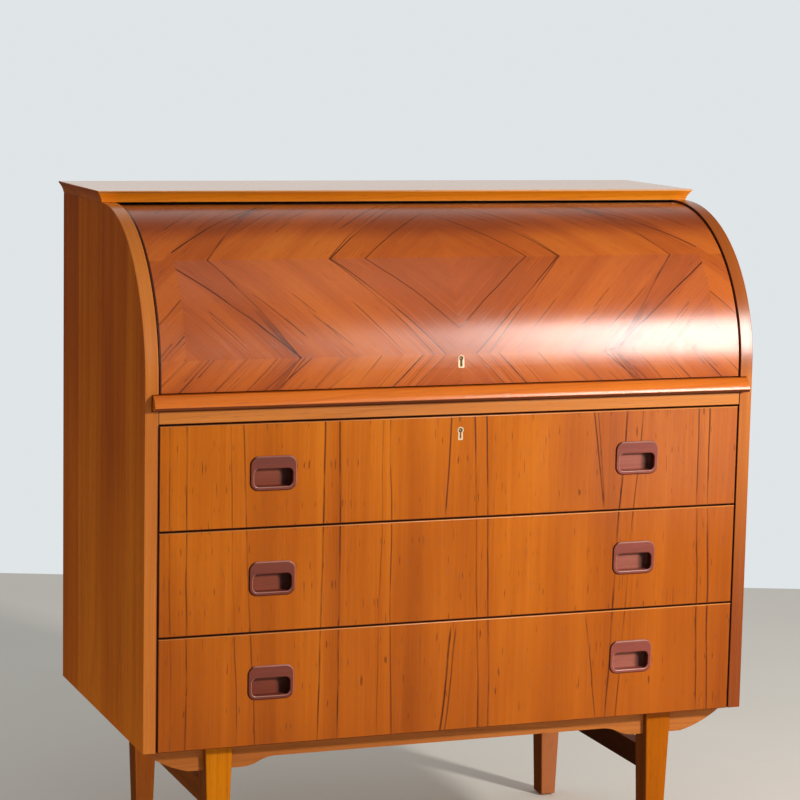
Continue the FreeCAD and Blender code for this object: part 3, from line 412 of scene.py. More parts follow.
# painted shade: a near-black finish for arrises, undersides and edges that stand in the shade of gaps
painted_shade_edge = timber("painted_shade_edge", "X", shade_edge_tones, satin=0.6, gloss=0.15)
pine_across = pine("pine_across", "X")
pine_deep = pine("pine_deep", "Y")
ply_across = plywood("ply_across", "X")
eased("front_rail", 0.0014, rail_teak, painted_shade_edge, arris=shaded_arrises)
for name in ("rear_rail", "bottom_board", "corner_blocks"):
    eased(name, 0.0006, pine_across)
for name in ("slide_runners", "drawer_runners", "fall_stops"):
    eased(name, 0.0006, pine_deep)
eased("dust_panel", 0.0004, ply_across)

# The top board: veneered, with a coved moulding run round its front and ends and mitred at the
# corners, glued down on the side panels and the back.
top_tones = ((0.60, 0.135, 0.004), (0.78, 0.19, 0.005), (0.90, 0.25, 0.006), (0.96, 0.33, 0.014))
# painted highlight: pale tones for the front moulding's arrises
top_highlight_tones = ((0.80, 0.34, 0.09), (0.86, 0.40, 0.12), (0.90, 0.45, 0.15), (0.94, 0.52, 0.20))
top_face = timber("top_face", "X", top_tones, bold=0.6, satin=0.32, gloss=0.5, coat=0.2)
top_end = timber("top_end", "Y", side_tones, bold=0.6)
top_flat = timber("top_flat", "X", top_tones, bold=0.6, satin=0.2, gloss=1.0, coat=1.0)
top_highlight = timber("top_highlight", "X", top_highlight_tones, satin=0.3, gloss=0.6)


def mitred(way, middle):
    """The flat top, the moulding across the front and the moulding on each end."""
    if way.z > 0.9:
        return 2
    return 1 if abs(way.x) > 0.5 * abs(way.z) and abs(way.x) > abs(way.y) else 0


def highlighted_front(way):
    """The arrises of the front moulding with a painted highlight, against those of the ends."""
    return 3 if way.y < -0.3 else 1


eased("top_board", 0.0006, top_face, top_end, top_flat, top_highlight, choose=mitred, arris=highlighted_front)

# The back: one sheet of thin plywood with its grain upright, let into rebates in the side panels and
# held by a row of slotted steel screws down each side.
eased("back_panel", 0.0004, plywood("ply_up", "Z"))


def metal(name, colour, worn, satin, metallic=1.0):
    """A metal finish with fine brushing and a little tarnish."""
    finish, tree, shader = new_finish(name)
    spot = lay_down(tree, "TexCoord").outputs["Object"]
    tarnish = fit(tree, figure(tree, spot, (55.0, 55.0, 55.0), 3.0), 0.35, 0.7, 0.0, 1.0)
    brush = figure(tree, spot, (2400.0, 300.0, 300.0), 1.0)
    tree.links.new(stain(tree, tarnish, colour, worn), shader.inputs["Base Color"])
    dull = reckon(tree, "MULTIPLY_ADD", tarnish, 0.16, satin - 0.06)
    tree.links.new(reckon(tree, "MULTIPLY_ADD", brush, 0.12, dull), shader.inputs["Roughness"])
    bump = lay_down(tree, "Bump", {"Height": brush, "Strength": 0.12, "Distance": 0.0001})
    tree.links.new(bump.outputs[0], shader.inputs["Normal"])
    shader.inputs["Metallic"].default_value = metallic
    return finish


steel = metal("screw_steel", (0.42, 0.41, 0.39), (0.27, 0.25, 0.22), 0.38)


def screw_maker():
    """Geometry Nodes that set one slotted screw at every point, each turned its own way in its hole."""
    maker = bpy.data.node_groups.new("slotted_screws", "GeometryNodeTree")
    maker.interface.new_socket("Places", in_out="INPUT", socket_type="NodeSocketGeometry")
    for name, kind in (("Head Radius", "Float"), ("Head Thickness", "Float"), ("Slot Width", "Float"),
                       ("Slot Depth", "Float"), ("Shank Radius", "Float"), ("Length", "Float"),
                       ("Turn", "Vector"), ("Finish", "Material")):
        maker.interface.new_socket(name, in_out="INPUT", socket_type="NodeSocket" + kind)
    maker.interface.new_socket("Screws", in_out="OUTPUT", socket_type="NodeSocketGeometry")

    def add(kind, feeds=None, **settings):
        node = maker.nodes.new(kind)
        for name, value in settings.items():
            setattr(node, name, value)
        for place, value in (feeds or {}).items():
            if isinstance(value, bpy.types.NodeSocket):
                maker.links.new(value, node.inputs[place])
            else:
                node.inputs[place].default_value = value
        return node

    def sum_of(how, *values):
        return add("ShaderNodeMath", dict(enumerate(values)), operation=how).outputs[0]

    def place(x=0.0, y=0.0, z=0.0):
        return add("ShaderNodeCombineXYZ", {0: x, 1: y, 2: z}).outputs[0]

    given = add("NodeGroupInput").outputs
    head = add("GeometryNodeMeshCylinder", {"Vertices": 20, "Radius": given["Head Radius"],
                                            "Depth": given["Head Thickness"]}).outputs["Mesh"]
    slot_size = place(sum_of("MULTIPLY", given["Head Radius"], 3.0), given["Slot Width"],
                      sum_of("MULTIPLY", given["Slot Depth"], 2.0))
    slot = add("GeometryNodeMeshCube", {"Size": slot_size}).outputs["Mesh"]
    slot = add("GeometryNodeTransform", {"Geometry": slot, "Translation": place(
        z=sum_of("MULTIPLY", given["Head Thickness"], 0.5))}).outputs[0]
    cut = add("GeometryNodeMeshBoolean", {"Mesh 1": head, "Mesh 2": slot},
              operation="DIFFERENCE").outputs[0]
    cut = add("GeometryNodeTransform", {"Geometry": cut, "Translation": place(
        z=sum_of("MULTIPLY", given["Head Thickness"], -0.5))}).outputs[0]
    shank = add("GeometryNodeMeshCylinder", {"Vertices": 12, "Radius": given["Shank Radius"],
                                             "Depth": given["Length"]}).outputs["Mesh"]
    shank = add("GeometryNodeTransform", {"Geometry": shank, "Translation": place(z=sum_of(
        "SUBTRACT", sum_of("MULTIPLY", given["Length"], -0.5), given["Head Thickness"]))}).outputs[0]
    whole = add("GeometryNodeJoinGeometry")
    maker.links.new(cut, whole.inputs[0])
    maker.links.new(shank, whole.inputs[0])
    spin = add("FunctionNodeRandomValue", {"Min": (0.0, 0.0, 0.0), "Max": (0.0, 0.0, math.pi), "Seed": 4},
               data_type="FLOAT_VECTOR").outputs["Value"]
    stood = add("GeometryNodeInstanceOnPoints", {"Points": given["Places"], "Instance": whole.outputs[0],
                                                 "Rotation": given["Turn"]}).outputs[0]
    turned = add("GeometryNodeRotateInstances", {"Instances": stood, "Rotation": spin}).outputs[0]
    solid = add("GeometryNodeRealizeInstances", {"Geometry": turned}).outputs[0]
    finished = add("GeometryNodeSetMaterial", {"Geometry": solid, "Material": given["Finish"]}).outputs[0]
    maker.links.new(finished, add("NodeGroupOutput").inputs[0])
    return maker


slotted_screws = screw_maker()


def screws(node, places, turn, length):
    """Slotted steel screws at the given places, made by the screw maker as one plain mesh."""
    seed_mesh = bpy.data.meshes.new(node + "_places")
    seed_mesh.from_pydata(places, [], [])
    seed = bpy.data.objects.new(node + "_places", seed_mesh)
    scene.collection.objects.link(seed)
    driven = seed.modifiers.new("slotted_screws", "NODES")
    driven.node_group = slotted_screws
    sizes = {"Head Radius": 0.0035, "Head Thickness": 0.0018, "Slot Width": 0.0009, "Slot Depth": 0.0009,
             "Shank Radius": 0.0015, "Length": length, "Turn": turn, "Finish": steel}
    for item in slotted_screws.interface.items_tree:
        if item.name in sizes:
            driven[item.identifier] = sizes[item.name]
    ready = seed.evaluated_get(bpy.context.evaluated_depsgraph_get())
    made = bpy.data.meshes.new_from_object(ready)
    bpy.data.objects.remove(seed)
    shape = bmesh.new()
    shape.from_mesh(made)
    shown_as(shape, node, (steel,))


BACK_SCREW_X = 0.436
BACK_FACE_Y = 0.235
BACK_SCREW_LOW = 0.280
BACK_SCREW_STEP = 0.161275
BACK_SCREW_COUNT = 5
back_screws = [(side * BACK_SCREW_X, BACK_FACE_Y, BACK_SCREW_LOW + step * BACK_SCREW_STEP)
               for side in (-1, 1) for step in range(BACK_SCREW_COUNT)]
screws("back_panel_screws", back_screws, turn=(-math.pi / 2, 0.0, 0.0), length=0.0138)

# The stand: four square tapering teak legs, shaped aprons front and back let through bridle slots at
# the leg tops, a low stretcher at each side, and blocks screwed up into the case; on hard black glides.
gold_tones = ((0.36, 0.080, 0.001), (0.49, 0.122, 0.001), (0.58, 0.158, 0.001), (0.68, 0.21, 0.003))
back_tones = ((0.46, 0.150, 0.055), (0.54, 0.165, 0.050), (0.64, 0.18, 0.036), (0.78, 0.20, 0.018))
# painted shade: darker copies of the teak for the sides of the legs and the stretchers, deepest under the
# desk
leg_side_shade_tones = ((0.20, 0.048, 0.006), (0.27, 0.068, 0.008), (0.33, 0.086, 0.010), (0.40, 0.11, 0.014))
under_shade_tones = ((0.12, 0.028, 0.004), (0.17, 0.040, 0.005), (0.21, 0.052, 0.006), (0.27, 0.070, 0.009))
deep_shade_tones = ((0.045, 0.011, 0.002), (0.062, 0.015, 0.002), (0.076, 0.019, 0.003), (0.097, 0.026, 0.004))
apron_tones = ((0.32, 0.085, 0.014), (0.44, 0.130, 0.025), (0.52, 0.165, 0.036), (0.62, 0.215, 0.052))


def leg_from_leg(tree, across, along, x, y, z):
    """The left legs are cut from a lighter board than the right ones."""
    return reckon(tree, "MULTIPLY", x, -0.8), None


leg_teak = timber("leg_teak", "Z", gold_tones, bold=0.6, cloud=0.3, marks=leg_from_leg, gloss=0.06)
back_leg_teak = timber("back_leg_teak", "Z", back_tones, bold=0.6, cloud=0.3, marks=leg_from_leg,
                       gloss=0.06)
apron_teak = timber("apron_teak", "X", apron_tones, bold=0.7, gloss=0.06)
leg_outer_shade = timber("leg_outer_shade", "Z", leg_side_shade_tones, bold=0.7, gloss=0.06)
leg_inner_shade = timber("leg_inner_shade", "Z", under_shade_tones, bold=0.7, gloss=0.06)
stretcher_shade = timber("stretcher_shade", "Y", leg_side_shade_tones, bold=0.7, gloss=0.06)
stretcher_inner_shade = timber("stretcher_inner_shade", "Y", deep_shade_tones, bold=0.7, gloss=0.06)


def out_or_in(way, middle):
    """The front and back of a leg or stretcher, its outer side and its side under the desk; both sides
    take painted shade, the one under the desk the deeper.
    """
    if abs(way.x) < 0.75:
        return 0
    return 1 if way.x * middle.x > 0.0 else 2


for end, end_teak in (("front", leg_teak), ("back", back_leg_teak)):
    for side in ("left", "right"):
        eased(f"leg_{end}_{side}", 0.0012, end_teak, leg_outer_shade, leg_inner_shade, choose=out_or_in)
    eased(f"{end}_apron", 0.0010, apron_teak)
eased("side_stretchers", 0.0010, stretcher_shade, stretcher_shade, stretcher_inner_shade, choose=out_or_in)
BLOCK_SCREW_X = 0.2877
BLOCK_SCREW_ROWS = (-0.146, 0.1825)
BLOCK_FOOT_Z = 0.220
block_screws = [(side * BLOCK_SCREW_X, row, BLOCK_FOOT_Z) for side in (-1, 1) for row in BLOCK_SCREW_ROWS]
screws("corner_block_screws", block_screws, turn=(math.pi, 0.0, 0.0), length=0.028)
glide_finish, tree, shader = new_finish("glide_plastic")
spot = lay_down(tree, "TexCoord").outputs["Object"]
scuff = figure(tree, spot, (180.0, 180.0, 180.0), 3.0)
scuffed = stain(tree, scuff, (0.012, 0.011, 0.010), (0.035, 0.032, 0.030))
tree.links.new(scuffed, shader.inputs["Base Color"])
tree.links.new(fit(tree, scuff, 0.3, 0.7, 0.45, 0.65), shader.inputs["Roughness"])
dress(glide_finish, "foot_glides")

# The cylinder fall: a bent board veneered with a matched field of slanting teak inside a border, each
# joint mirrored, on two plywood cheeks that turn on brass bushes and pins.
FALL_RADIUS = 0.2215
FIELD_HALF = 0.393
FIELD_LOW = 0.030
FIELD_TALL = 0.145


def streaks(tree, across, along, low, high, rows):
    """Dark thread-like streaks: each runs from one place across the grain at the high end to another
    at the low end, so wide and so dark, and over all the length or between two places along it."""
    total = 0.0
    for at_high, at_low, wide, dark, *span in rows:
        slope = (at_high - at_low) / (high - low)
        middle = reckon(tree, "MULTIPLY_ADD", along, slope, at_low - slope * low)
        off = reckon(tree, "ABSOLUTE", reckon(tree, "SUBTRACT", across, middle))
        line = fit(tree, off, wide * 0.15, wide * 0.85, dark, 0.0)
        if span:
            reach = reckon(tree, "ABSOLUTE", reckon(tree, "SUBTRACT", along, sum(span) / 2))
            half = (span[1] - span[0]) / 2
            line = reckon(tree, "MULTIPLY", line, fit(tree, reach, half * 0.75, half, 1.0, 0.0))
        total = reckon(tree, "MAXIMUM", total, line)
    where = lay_down(tree, "CombineXYZ", {0: across, 2: along}).outputs[0]
    fade = fit(tree, figure(tree, where, (14.0, 14.0, 13.0)), 0.36, 0.56, 0.5, 1.25)
    return reckon(tree, "MULTIPLY", total, fade)


def folded(tree, x, y, z):
    """Places on the fall folded along its mirrored joints: out from the middle, and up the curve."""
    forward = reckon(tree, "SUBTRACT", AXIS_Y, y)
    turn = reckon(tree, "ARCTAN2", reckon(tree, "SUBTRACT", z, AXIS_Z), forward)
    rise = reckon(tree, "MULTIPLY", turn, FALL_RADIUS)
    in_height = reckon(tree, "COMPARE", rise, FIELD_LOW + FIELD_TALL / 2, FIELD_TALL / 2)
    out = reckon(tree, "ABSOLUTE", x)
    past = reckon(tree, "MAXIMUM", reckon(tree, "SUBTRACT", out, FIELD_HALF), 0.0)
    turned_back = reckon(tree, "MULTIPLY", reckon(tree, "MULTIPLY", past, 2.0), in_height)
    out = reckon(tree, "SUBTRACT", out, turned_back)
    up = reckon(tree, "PINGPONG", reckon(tree, "SUBTRACT", rise, FIELD_LOW), FIELD_TALL)
    return out, reckon(tree, "ADD", up, FIELD_LOW), rise


def slanting(tree, x, y, z):
    """Grain at half a right angle in every leaf of the fall."""
    out, up, _ = folded(tree, x, y, z)
    across = reckon(tree, "MULTIPLY", reckon(tree, "SUBTRACT", out, up), math.sqrt(0.5))
    along = reckon(tree, "MULTIPLY", reckon(tree, "ADD", out, up), math.sqrt(0.5))
    return across, along, 0.0


FALL_STREAKS = (
    (0.236, 0.201, 0.0026, 0.85), (0.171, 0.203, 0.0020, 0.9), (0.178, 0.161, 0.0018, 0.9, 0.055, 0.125),
    (0.182, 0.205, 0.0075, 0.5, 0.030, 0.100), (0.119, 0.110, 0.0018, 1.0, 0.090, 0.122),
    (0.148, 0.106, 0.0014, 0.7, 0.042, 0.092), (0.124, 0.118, 0.0013, 0.6, 0.050, 0.100),
    (0.040, 0.050, 0.0015, 0.6, 0.030, 0.110), (-0.004, -0.008, 0.0019, 0.95),
    (-0.002, 0.0095, 0.0016, 0.8), (-0.055, -0.070, 0.0017, 0.85),
    (0.262, 0.258, 0.0014, 0.55, 0.050, 0.100), (0.270, 0.264, 0.0012, 0.5, 0.040, 0.090),
)
BORDER_STREAKS = (
    (0.281, 0.280, 0.0016, 0.75), (0.331, 0.330, 0.0018, 0.9), (0.340, 0.338, 0.0015, 0.8, 0.020, 0.060),
    (0.322, 0.323, 0.0020, 0.8, 0.025, 0.055), (0.372, 0.361, 0.0016, 0.7),
    (0.215, 0.186, 0.0017, 1.0, 0.0, 0.12), (0.176, 0.196, 0.0015, 0.8, 0.0, 0.12),
    (0.143, 0.139, 0.0013, 0.6, 0.0, 0.12), (0.233, 0.236, 0.0013, 0.6, 0.0, 0.12),
    (0.028, 0.025, 0.0018, 0.95, 0.0, 0.12), (0.070, 0.086, 0.0015, 0.75, 0.0, 0.065),
)
FALL_STRIPS_LOW = -0.18
FALL_STRIPS_SPAN = 0.6
FALL_STRIPS = (
    (-0.17, 0.44), (-0.068, 0.42), (-0.062, 0.45), (-0.010, 0.44), (-0.003, 0.53), (0.045, 0.58),
    (0.055, 0.52), (0.112, 0.58), (0.125, 0.50), (0.168, 0.52), (0.178, 0.40), (0.203, 0.38),
    (0.232, 0.46), (0.24, 0.56), (0.285, 0.50), (0.295, 0.57), (0.337, 0.50), (0.36, 0.56),
)
MIDDLE_TONE = 0.49
PALE_MIDDLE = -0.11
PLAIN_ABOVE = 0.115
LEFT_END = -0.4270
END_SHADE_WIDTH = 0.0008
TOP_SHADE_FROM = 0.318
TOP_SHADE_TO = 0.330
SHEEN_TINT = (0.90, 0.40, 0.30)


def paler_middle(tree, x):
    """The wood is paler a little to the left of the middle."""
    off = reckon(tree, "ABSOLUTE", reckon(tree, "SUBTRACT", x, PALE_MIDDLE))
    return fit(tree, off, 0.08, 0.22, 0.09, 0.0)


def fall_marks(tree, across, along, x, y, z):
    """The fall's own streaks, a border a shade lighter than the field, painted shade in the gaps at its
    left end and along its top, and a painted sheen on the field."""
    out, up, rise = folded(tree, x, y, z)
    where = lay_down(tree, "CombineXYZ", {0: x, 1: y, 2: z}).outputs[0]
    sway = reckon(tree, "MULTIPLY_ADD", figure(tree, where, (14.0, 14.0, 14.0)), 0.007, -0.0035)
    slant = reckon(tree, "ADD", reckon(tree, "SUBTRACT", out, up), sway)
    line = streaks(tree, slant, up, FIELD_LOW, FIELD_LOW + FIELD_TALL, FALL_STREAKS)
    edge_line = streaks(tree, slant, up, FIELD_LOW, FIELD_LOW + FIELD_TALL, BORDER_STREAKS)
    in_height = reckon(tree, "COMPARE", rise, FIELD_LOW + FIELD_TALL / 2, FIELD_TALL / 2)
    in_width = reckon(tree, "COMPARE", x, 0.0, FIELD_HALF)
    below = reckon(tree, "LESS_THAN", rise, FIELD_LOW)
    field = reckon(tree, "MULTIPLY", in_height, in_width)
    edge_line = reckon(tree, "MULTIPLY", edge_line, reckon(tree, "SUBTRACT", 1.0, field))
    line = reckon(tree, "MULTIPLY", line, fit(tree, below, 0.0, 1.0, 1.0, 0.55))
    line = reckon(tree, "MAXIMUM", line, edge_line)
    plain = reckon(tree, "MULTIPLY", reckon(tree, "GREATER_THAN", rise, PLAIN_ABOVE),
                   reckon(tree, "SUBTRACT", 1.0, in_width))
    line = reckon(tree, "MULTIPLY", line, reckon(tree, "SUBTRACT", 1.0, plain))
    # painted shade: dark lines at the fall's left end and along its top, standing for the gaps beside the
    # side panel and under the top board
    end_gap_shade = fit(tree, x, LEFT_END, LEFT_END + END_SHADE_WIDTH, 0.97, 0.0)
    top_gap_shade = fit(tree, rise, TOP_SHADE_FROM, TOP_SHADE_TO, 0.0, 0.85)
    line = reckon(tree, "MAXIMUM", line, reckon(tree, "MAXIMUM", end_gap_shade, top_gap_shade))
    strip = tone_of_strips(tree, slant, FALL_STRIPS, FALL_STRIPS_LOW, FALL_STRIPS_SPAN)
    right_half = reckon(tree, "MULTIPLY", reckon(tree, "GREATER_THAN", x, 0.0), 0.04)
    shift = reckon(tree, "MULTIPLY_ADD", field, -0.10, reckon(tree, "ADD", strip, right_half))
    shift = reckon(tree, "ADD", shift, paler_middle(tree, x))
    dark_top = fit(tree, rise, 0.205, 0.25, 0.0, -0.32)
    shift = reckon(tree, "ADD", shift, dark_top)
    # painted sheen: a pale pinkish wash on the field, on the left and towards the right end, standing for
    # the lacquer's reflection
    left_sheen = reckon(tree, "MULTIPLY", fit(tree, x, -0.05, 0.2, 0.07, 0.0),
                       fit(tree, rise, 0.06, 0.14, 0.0, 1.0))
    right_sheen = fit(tree, x, 0.1, 0.3, 0.0, 0.03)
    painted_sheen = reckon(tree, "MULTIPLY", field, reckon(tree, "ADD", left_sheen, right_sheen))
    return reckon(tree, "SUBTRACT", shift, MIDDLE_TONE), line, (painted_sheen, SHEEN_TINT)


fall_tones = ((0.34, 0.058, 0.006), (0.47, 0.087, 0.008), (0.58, 0.122, 0.010), (0.70, 0.176, 0.016))
fall_veneer = timber("fall_veneer", slanting, fall_tones, band=(24.0, 3.0), bold=0.5, rings=0.08,
                     marks=fall_marks, flecks=0.35, streak=(0.06, 0.010, 0.003), satin=0.25, gloss=0.75)
fall_inside = timber("fall_inside", "X", fall_tones)


def show_side(way, middle):
    """The veneered outside of the fall, against its inside and edges."""
    out = Vector((0.0, middle.y - AXIS_Y, middle.z - AXIS_Z))
    return 0 if way.dot(out.normalized()) > 0.9 else 1


eased("cylinder_fall", 0.0, fall_veneer, fall_inside, choose=show_side)
eased("fall_cheeks", 0.0004, plywood("ply_deep", "Y"))
brass = metal("worn_brass", (0.72, 0.56, 0.29), (0.50, 0.36, 0.17), 0.32)
dress(brass, "fall_bushes", "fall_pivot_pins")

# The writing slide: a veneered board that draws out on runners in the side panels, with a moulded teak
# lip along its front, two stops below and the brass strike plate of the fall's lock let into the lip.
teak_tones = ((0.36, 0.070, 0.002), (0.49, 0.106, 0.002), (0.60, 0.146, 0.003), (0.73, 0.205, 0.008))
lip_tones = ((0.52, 0.102, 0.008), (0.66, 0.142, 0.010), (0.77, 0.182, 0.014), (0.87, 0.243, 0.022))
slide_face = timber("slide_face", "X", teak_tones)
eased("writing_slide", 0.0005, slide_face)


def lip_marks(tree, across, along, x, y, z):
    """The lip is cut from the same pale-middled wood as the fall."""
    return paler_middle(tree, x), None


lip_teak = timber("lip_teak", "X", lip_tones, bold=0.6, marks=lip_marks, satin=0.22, gloss=0.55)


def lip_or_under(way, middle):
    """The lip's polished front and top, and its underside in painted shade."""
    return 1 if way.z < -0.05 else 0


# painted shade: the lip's underside takes the near-black finish
eased("slide_lip", 0.0005, lip_teak, painted_shade_edge, choose=lip_or_under)
eased("slide_stops", 0.0006, pine_across)
dress(brass, "strike_plate")

# The three drawers: veneered fronts with the figure running up through all three, pale boxes dovetailed
# behind them on thin plywood bottoms, and shaped finger pulls let into the fronts.
DRAWERS_LOW = 0.245
DRAWERS_HIGH = 0.684
TOP_DRAWER = (0.5414, 0.70)
LOW_DRAWER = (0.22, 0.3972)
DRAWER_STREAKS = (
    (-0.416, -0.412, 0.0016, 0.45), (-0.392, -0.390, 0.0020, 0.6), (-0.332, -0.319, 0.0016, 0.5),
    (-0.314, -0.293, 0.0018, 0.55), (-0.197, -0.202, 0.0022, 0.7), (-0.176, -0.173, 0.0022, 0.7),
    (-0.113, -0.115, 0.0014, 0.4), (-0.103, -0.094, 0.0018, 0.6),
    (-0.012, -0.037, 0.0022, 0.7, *TOP_DRAWER), (0.020, -0.021, 0.0026, 0.8, *LOW_DRAWER),
    (0.028, -0.014, 0.0020, 0.6, *LOW_DRAWER),
    (0.022, 0.036, 0.0022, 0.7), (0.040, 0.052, 0.0022, 0.7), (0.202, 0.267, 0.0020, 0.7, *TOP_DRAWER),
    (0.208, 0.258, 0.0016, 0.5, *TOP_DRAWER), (0.253, 0.232, 0.0024, 0.75), (0.278, 0.249, 0.0018, 0.6),
    (0.160, 0.216, 0.0018, 0.6, *LOW_DRAWER), (0.367, 0.376, 0.0020, 0.65), (0.384, 0.394, 0.0022, 0.7),
)
DRAWER_STRIPS_LOW = -0.45
DRAWER_STRIPS_SPAN = 0.9
DRAWER_STRIPS = (
    (-0.44, 0.47), (-0.392, 0.50), (-0.33, 0.57), (-0.30, 0.50), (-0.20, 0.58), (-0.195, 0.42),
    (-0.176, 0.40), (-0.17, 0.53), (-0.10, 0.55), (-0.09, 0.47), (-0.02, 0.56), (0.03, 0.52),
    (0.045, 0.40), (0.055, 0.55), (0.112, 0.58), (0.122, 0.50), (0.20, 0.52), (0.24, 0.42),
    (0.27, 0.46), (0.37, 0.45), (0.39, 0.36), (0.44, 0.40),
)
GLARE_TINT = (0.50, 0.28, 0.32)


def drawer_marks(tree, across, along, x, y, z):
    """The drawers' streaks, the tone of the strips between them, painted shade that darkens them towards
    the bottom, and a painted sheen at the top right."""
    where = lay_down(tree, "CombineXYZ", {0: x, 2: z}).outputs[0]
    sway = reckon(tree, "MULTIPLY_ADD", figure(tree, where, (7.0, 7.0, 5.0)), 0.010, -0.005)
    bent = reckon(tree, "ADD", x, sway)
    line = streaks(tree, bent, z, DRAWERS_LOW, DRAWERS_HIGH, DRAWER_STREAKS)
    strip = tone_of_strips(tree, bent, DRAWER_STRIPS, DRAWER_STRIPS_LOW, DRAWER_STRIPS_SPAN)
    # painted shade: the fronts grow darker towards the bottom, as the light falls off
    painted_falloff_below = reckon(tree, "MULTIPLY_ADD", z, 0.55, -0.82)
    # painted sheen: a pinkish wash at the top right of the fronts, standing for the glare of the window
    painted_glare = reckon(tree, "MULTIPLY", fit(tree, x, 0.05, 0.32, 0.0, 0.08),
                   fit(tree, z, 0.45, 0.62, 0.0, 1.0))
    return reckon(tree, "ADD", strip, painted_falloff_below), line, (painted_glare, GLARE_TINT)


drawer_veneer = timber("drawer_veneer", "Z", teak_tones, bold=0.45, cloud=0.6, fibre=0.14, rings=0.1,
                       marks=drawer_marks, flecks=0.6, threads=0.3, satin=0.24, gloss=0.45)
# painted highlight: a pale finish for the drawer fronts' top arrises
highlight_arris_tones = ((0.50, 0.15, 0.03), (0.60, 0.20, 0.045), (0.70, 0.25, 0.06), (0.78, 0.31, 0.085))
highlight_arris = timber("highlight_arris", "X", highlight_arris_tones, satin=0.3, gloss=0.5)
PULL_SPREAD = 0.2705
PULL_STREAK = (0.05, 0.012, 0.008)
HOLE_SHADOW = (0.035, 0.007, 0.004)
pull_tones = ((0.17, 0.032, 0.018), (0.21, 0.041, 0.023), (0.25, 0.051, 0.031), (0.31, 0.066, 0.044))
hollow_tones = ((0.23, 0.045, 0.021), (0.28, 0.062, 0.030), (0.36, 0.095, 0.057), (0.46, 0.145, 0.100))
pull_highlight_tones = ((0.30, 0.10, 0.07), (0.38, 0.14, 0.10), (0.45, 0.18, 0.13), (0.52, 0.22, 0.17))
pull_rim_shade_tones = ((0.050, 0.010, 0.004), (0.070, 0.014, 0.005), (0.090, 0.018, 0.007), (0.120, 0.026, 0.010))


def lit_right_pulls(tree, across, along, x, y, z):
    """The right pulls are painted paler than the left ones, as painted light from the right."""
    return reckon(tree, "MULTIPLY", x, 0.65), None


def shadowed_end(tree, across, along, x, y, z):
    """The floor of a hole, with a painted shadow at its right end."""
    shift, line = lit_right_pulls(tree, across, along, x, y, z)
    middle = reckon(tree, "MULTIPLY", reckon(tree, "SIGN", x), PULL_SPREAD)
    # painted shadow: the hole's floor is darkened at its right end, where the right wall casts shade
    painted_shadow = fit(tree, reckon(tree, "SUBTRACT", x, middle), 0.010, 0.018, 0.0, 0.75)
    return shift, line, (painted_shadow, HOLE_SHADOW)


pull_wood = timber("pull_wood", "X", pull_tones, bold=0.5, rings=0.1, marks=lit_right_pulls, satin=0.40,
                   gloss=0.4, streak=PULL_STREAK)
# painted shade and painted highlight: dark rims for the sides away from the light, pale rims for those
# towards it
pull_shade_rim = timber("pull_shade_rim", "X", pull_rim_shade_tones, satin=0.45, gloss=0.2)
pull_highlight = timber("pull_highlight", "X", pull_highlight_tones, bold=0.5, rings=0.1, satin=0.3, gloss=0.8)
pull_hollow = timber("pull_hollow", "X", hollow_tones, bold=0.5, rings=0.1, marks=shadowed_end, gloss=0.3,
                     streak=PULL_STREAK)
PULL_HEIGHTS = {1: 0.6158, 2: 0.4716, 3: 0.3274}
# Each row of a pull, from its back round the front edge and down into the finger hole: half its width,
# half its height, its corner, how far forward it is and how far its middle is below the pull's.
PULL_ROWS = (
    (0.0330, 0.02375, 0.0120, -0.2045, 0.0), (0.0330, 0.02375, 0.0120, -0.2196, 0.0),
    (0.0328, 0.02355, 0.0118, -0.2203, 0.0), (0.0323, 0.02305, 0.0113, -0.2210, 0.0),
    (0.0317, 0.02245, 0.0107, -0.2214, 0.0), (0.0310, 0.02175, 0.0100, -0.2215, 0.0),
    (0.0285, 0.0135, 0.0080, -0.2215, 0.00575), (0.0280, 0.0130, 0.0075, -0.22135, 0.00575),
    (0.0276, 0.0126, 0.0071, -0.2210, 0.00575), (0.0275, 0.0125, 0.0070, -0.2204, 0.00575),
    (0.0275, 0.0125, 0.0070, -0.2160, 0.00575), (0.0275, 0.0130, 0.0070, -0.2156, 0.00525),
    (0.0275, 0.0175, 0.0070, -0.2154, 0.00075), (0.0275, 0.0175, 0.0070, -0.2095, 0.00075),
    (0.0268, 0.0168, 0.0063, -0.2077, 0.00075), (0.0255, 0.0155, 0.0050, -0.2070, 0.00075),
)
# The bands between those rows, and the finishes that they take.
OUTER_WALL = 0
OUTER_ROUND = range(1, 5)
HOLE_ROUND = range(6, 9)
HOLE_WALL = range(9, 13)
HOLE_FLOOR = (13, 14, 16)
OWN_WOOD, SHADED_RIM, HIGHLIT_RIM, HOLE_WOOD = range(4)


def ring(x, y, z, half_wide, half_tall, corner, steps=7):
    """Points round a block with rounded corners."""
    points = []
    for right, up, start in ((1, 1, 0.0), (-1, 1, 90.0), (-1, -1, 180.0), (1, -1, 270.0)):
        for step in range(steps + 1):
            turn = math.radians(start + 90.0 * step / steps)
            points.append((x + right * (half_wide - corner) + corner * math.cos(turn), y,
                           z + up * (half_tall - corner) + corner * math.sin(turn)))
    return points


def skinned(shape, rows, closed):
    """Joins rows of points with bands of faces; the ends are filled, or joined to each other where
    closed."""
    rows = [[shape.verts.new(point) for point in row] for row in rows]
    bands = []
    for near, far in zip(rows, rows[1:] + rows[:1] if closed else rows[1:]):
        around = list(zip(near, near[1:] + near[:1], far[1:] + far[:1], far))
        bands.append([shape.faces.new(corners) for corners in around])
    if not closed:
        bands += [[shape.faces.new(rows[0])], [shape.faces.new(rows[-1])]]
    return bands


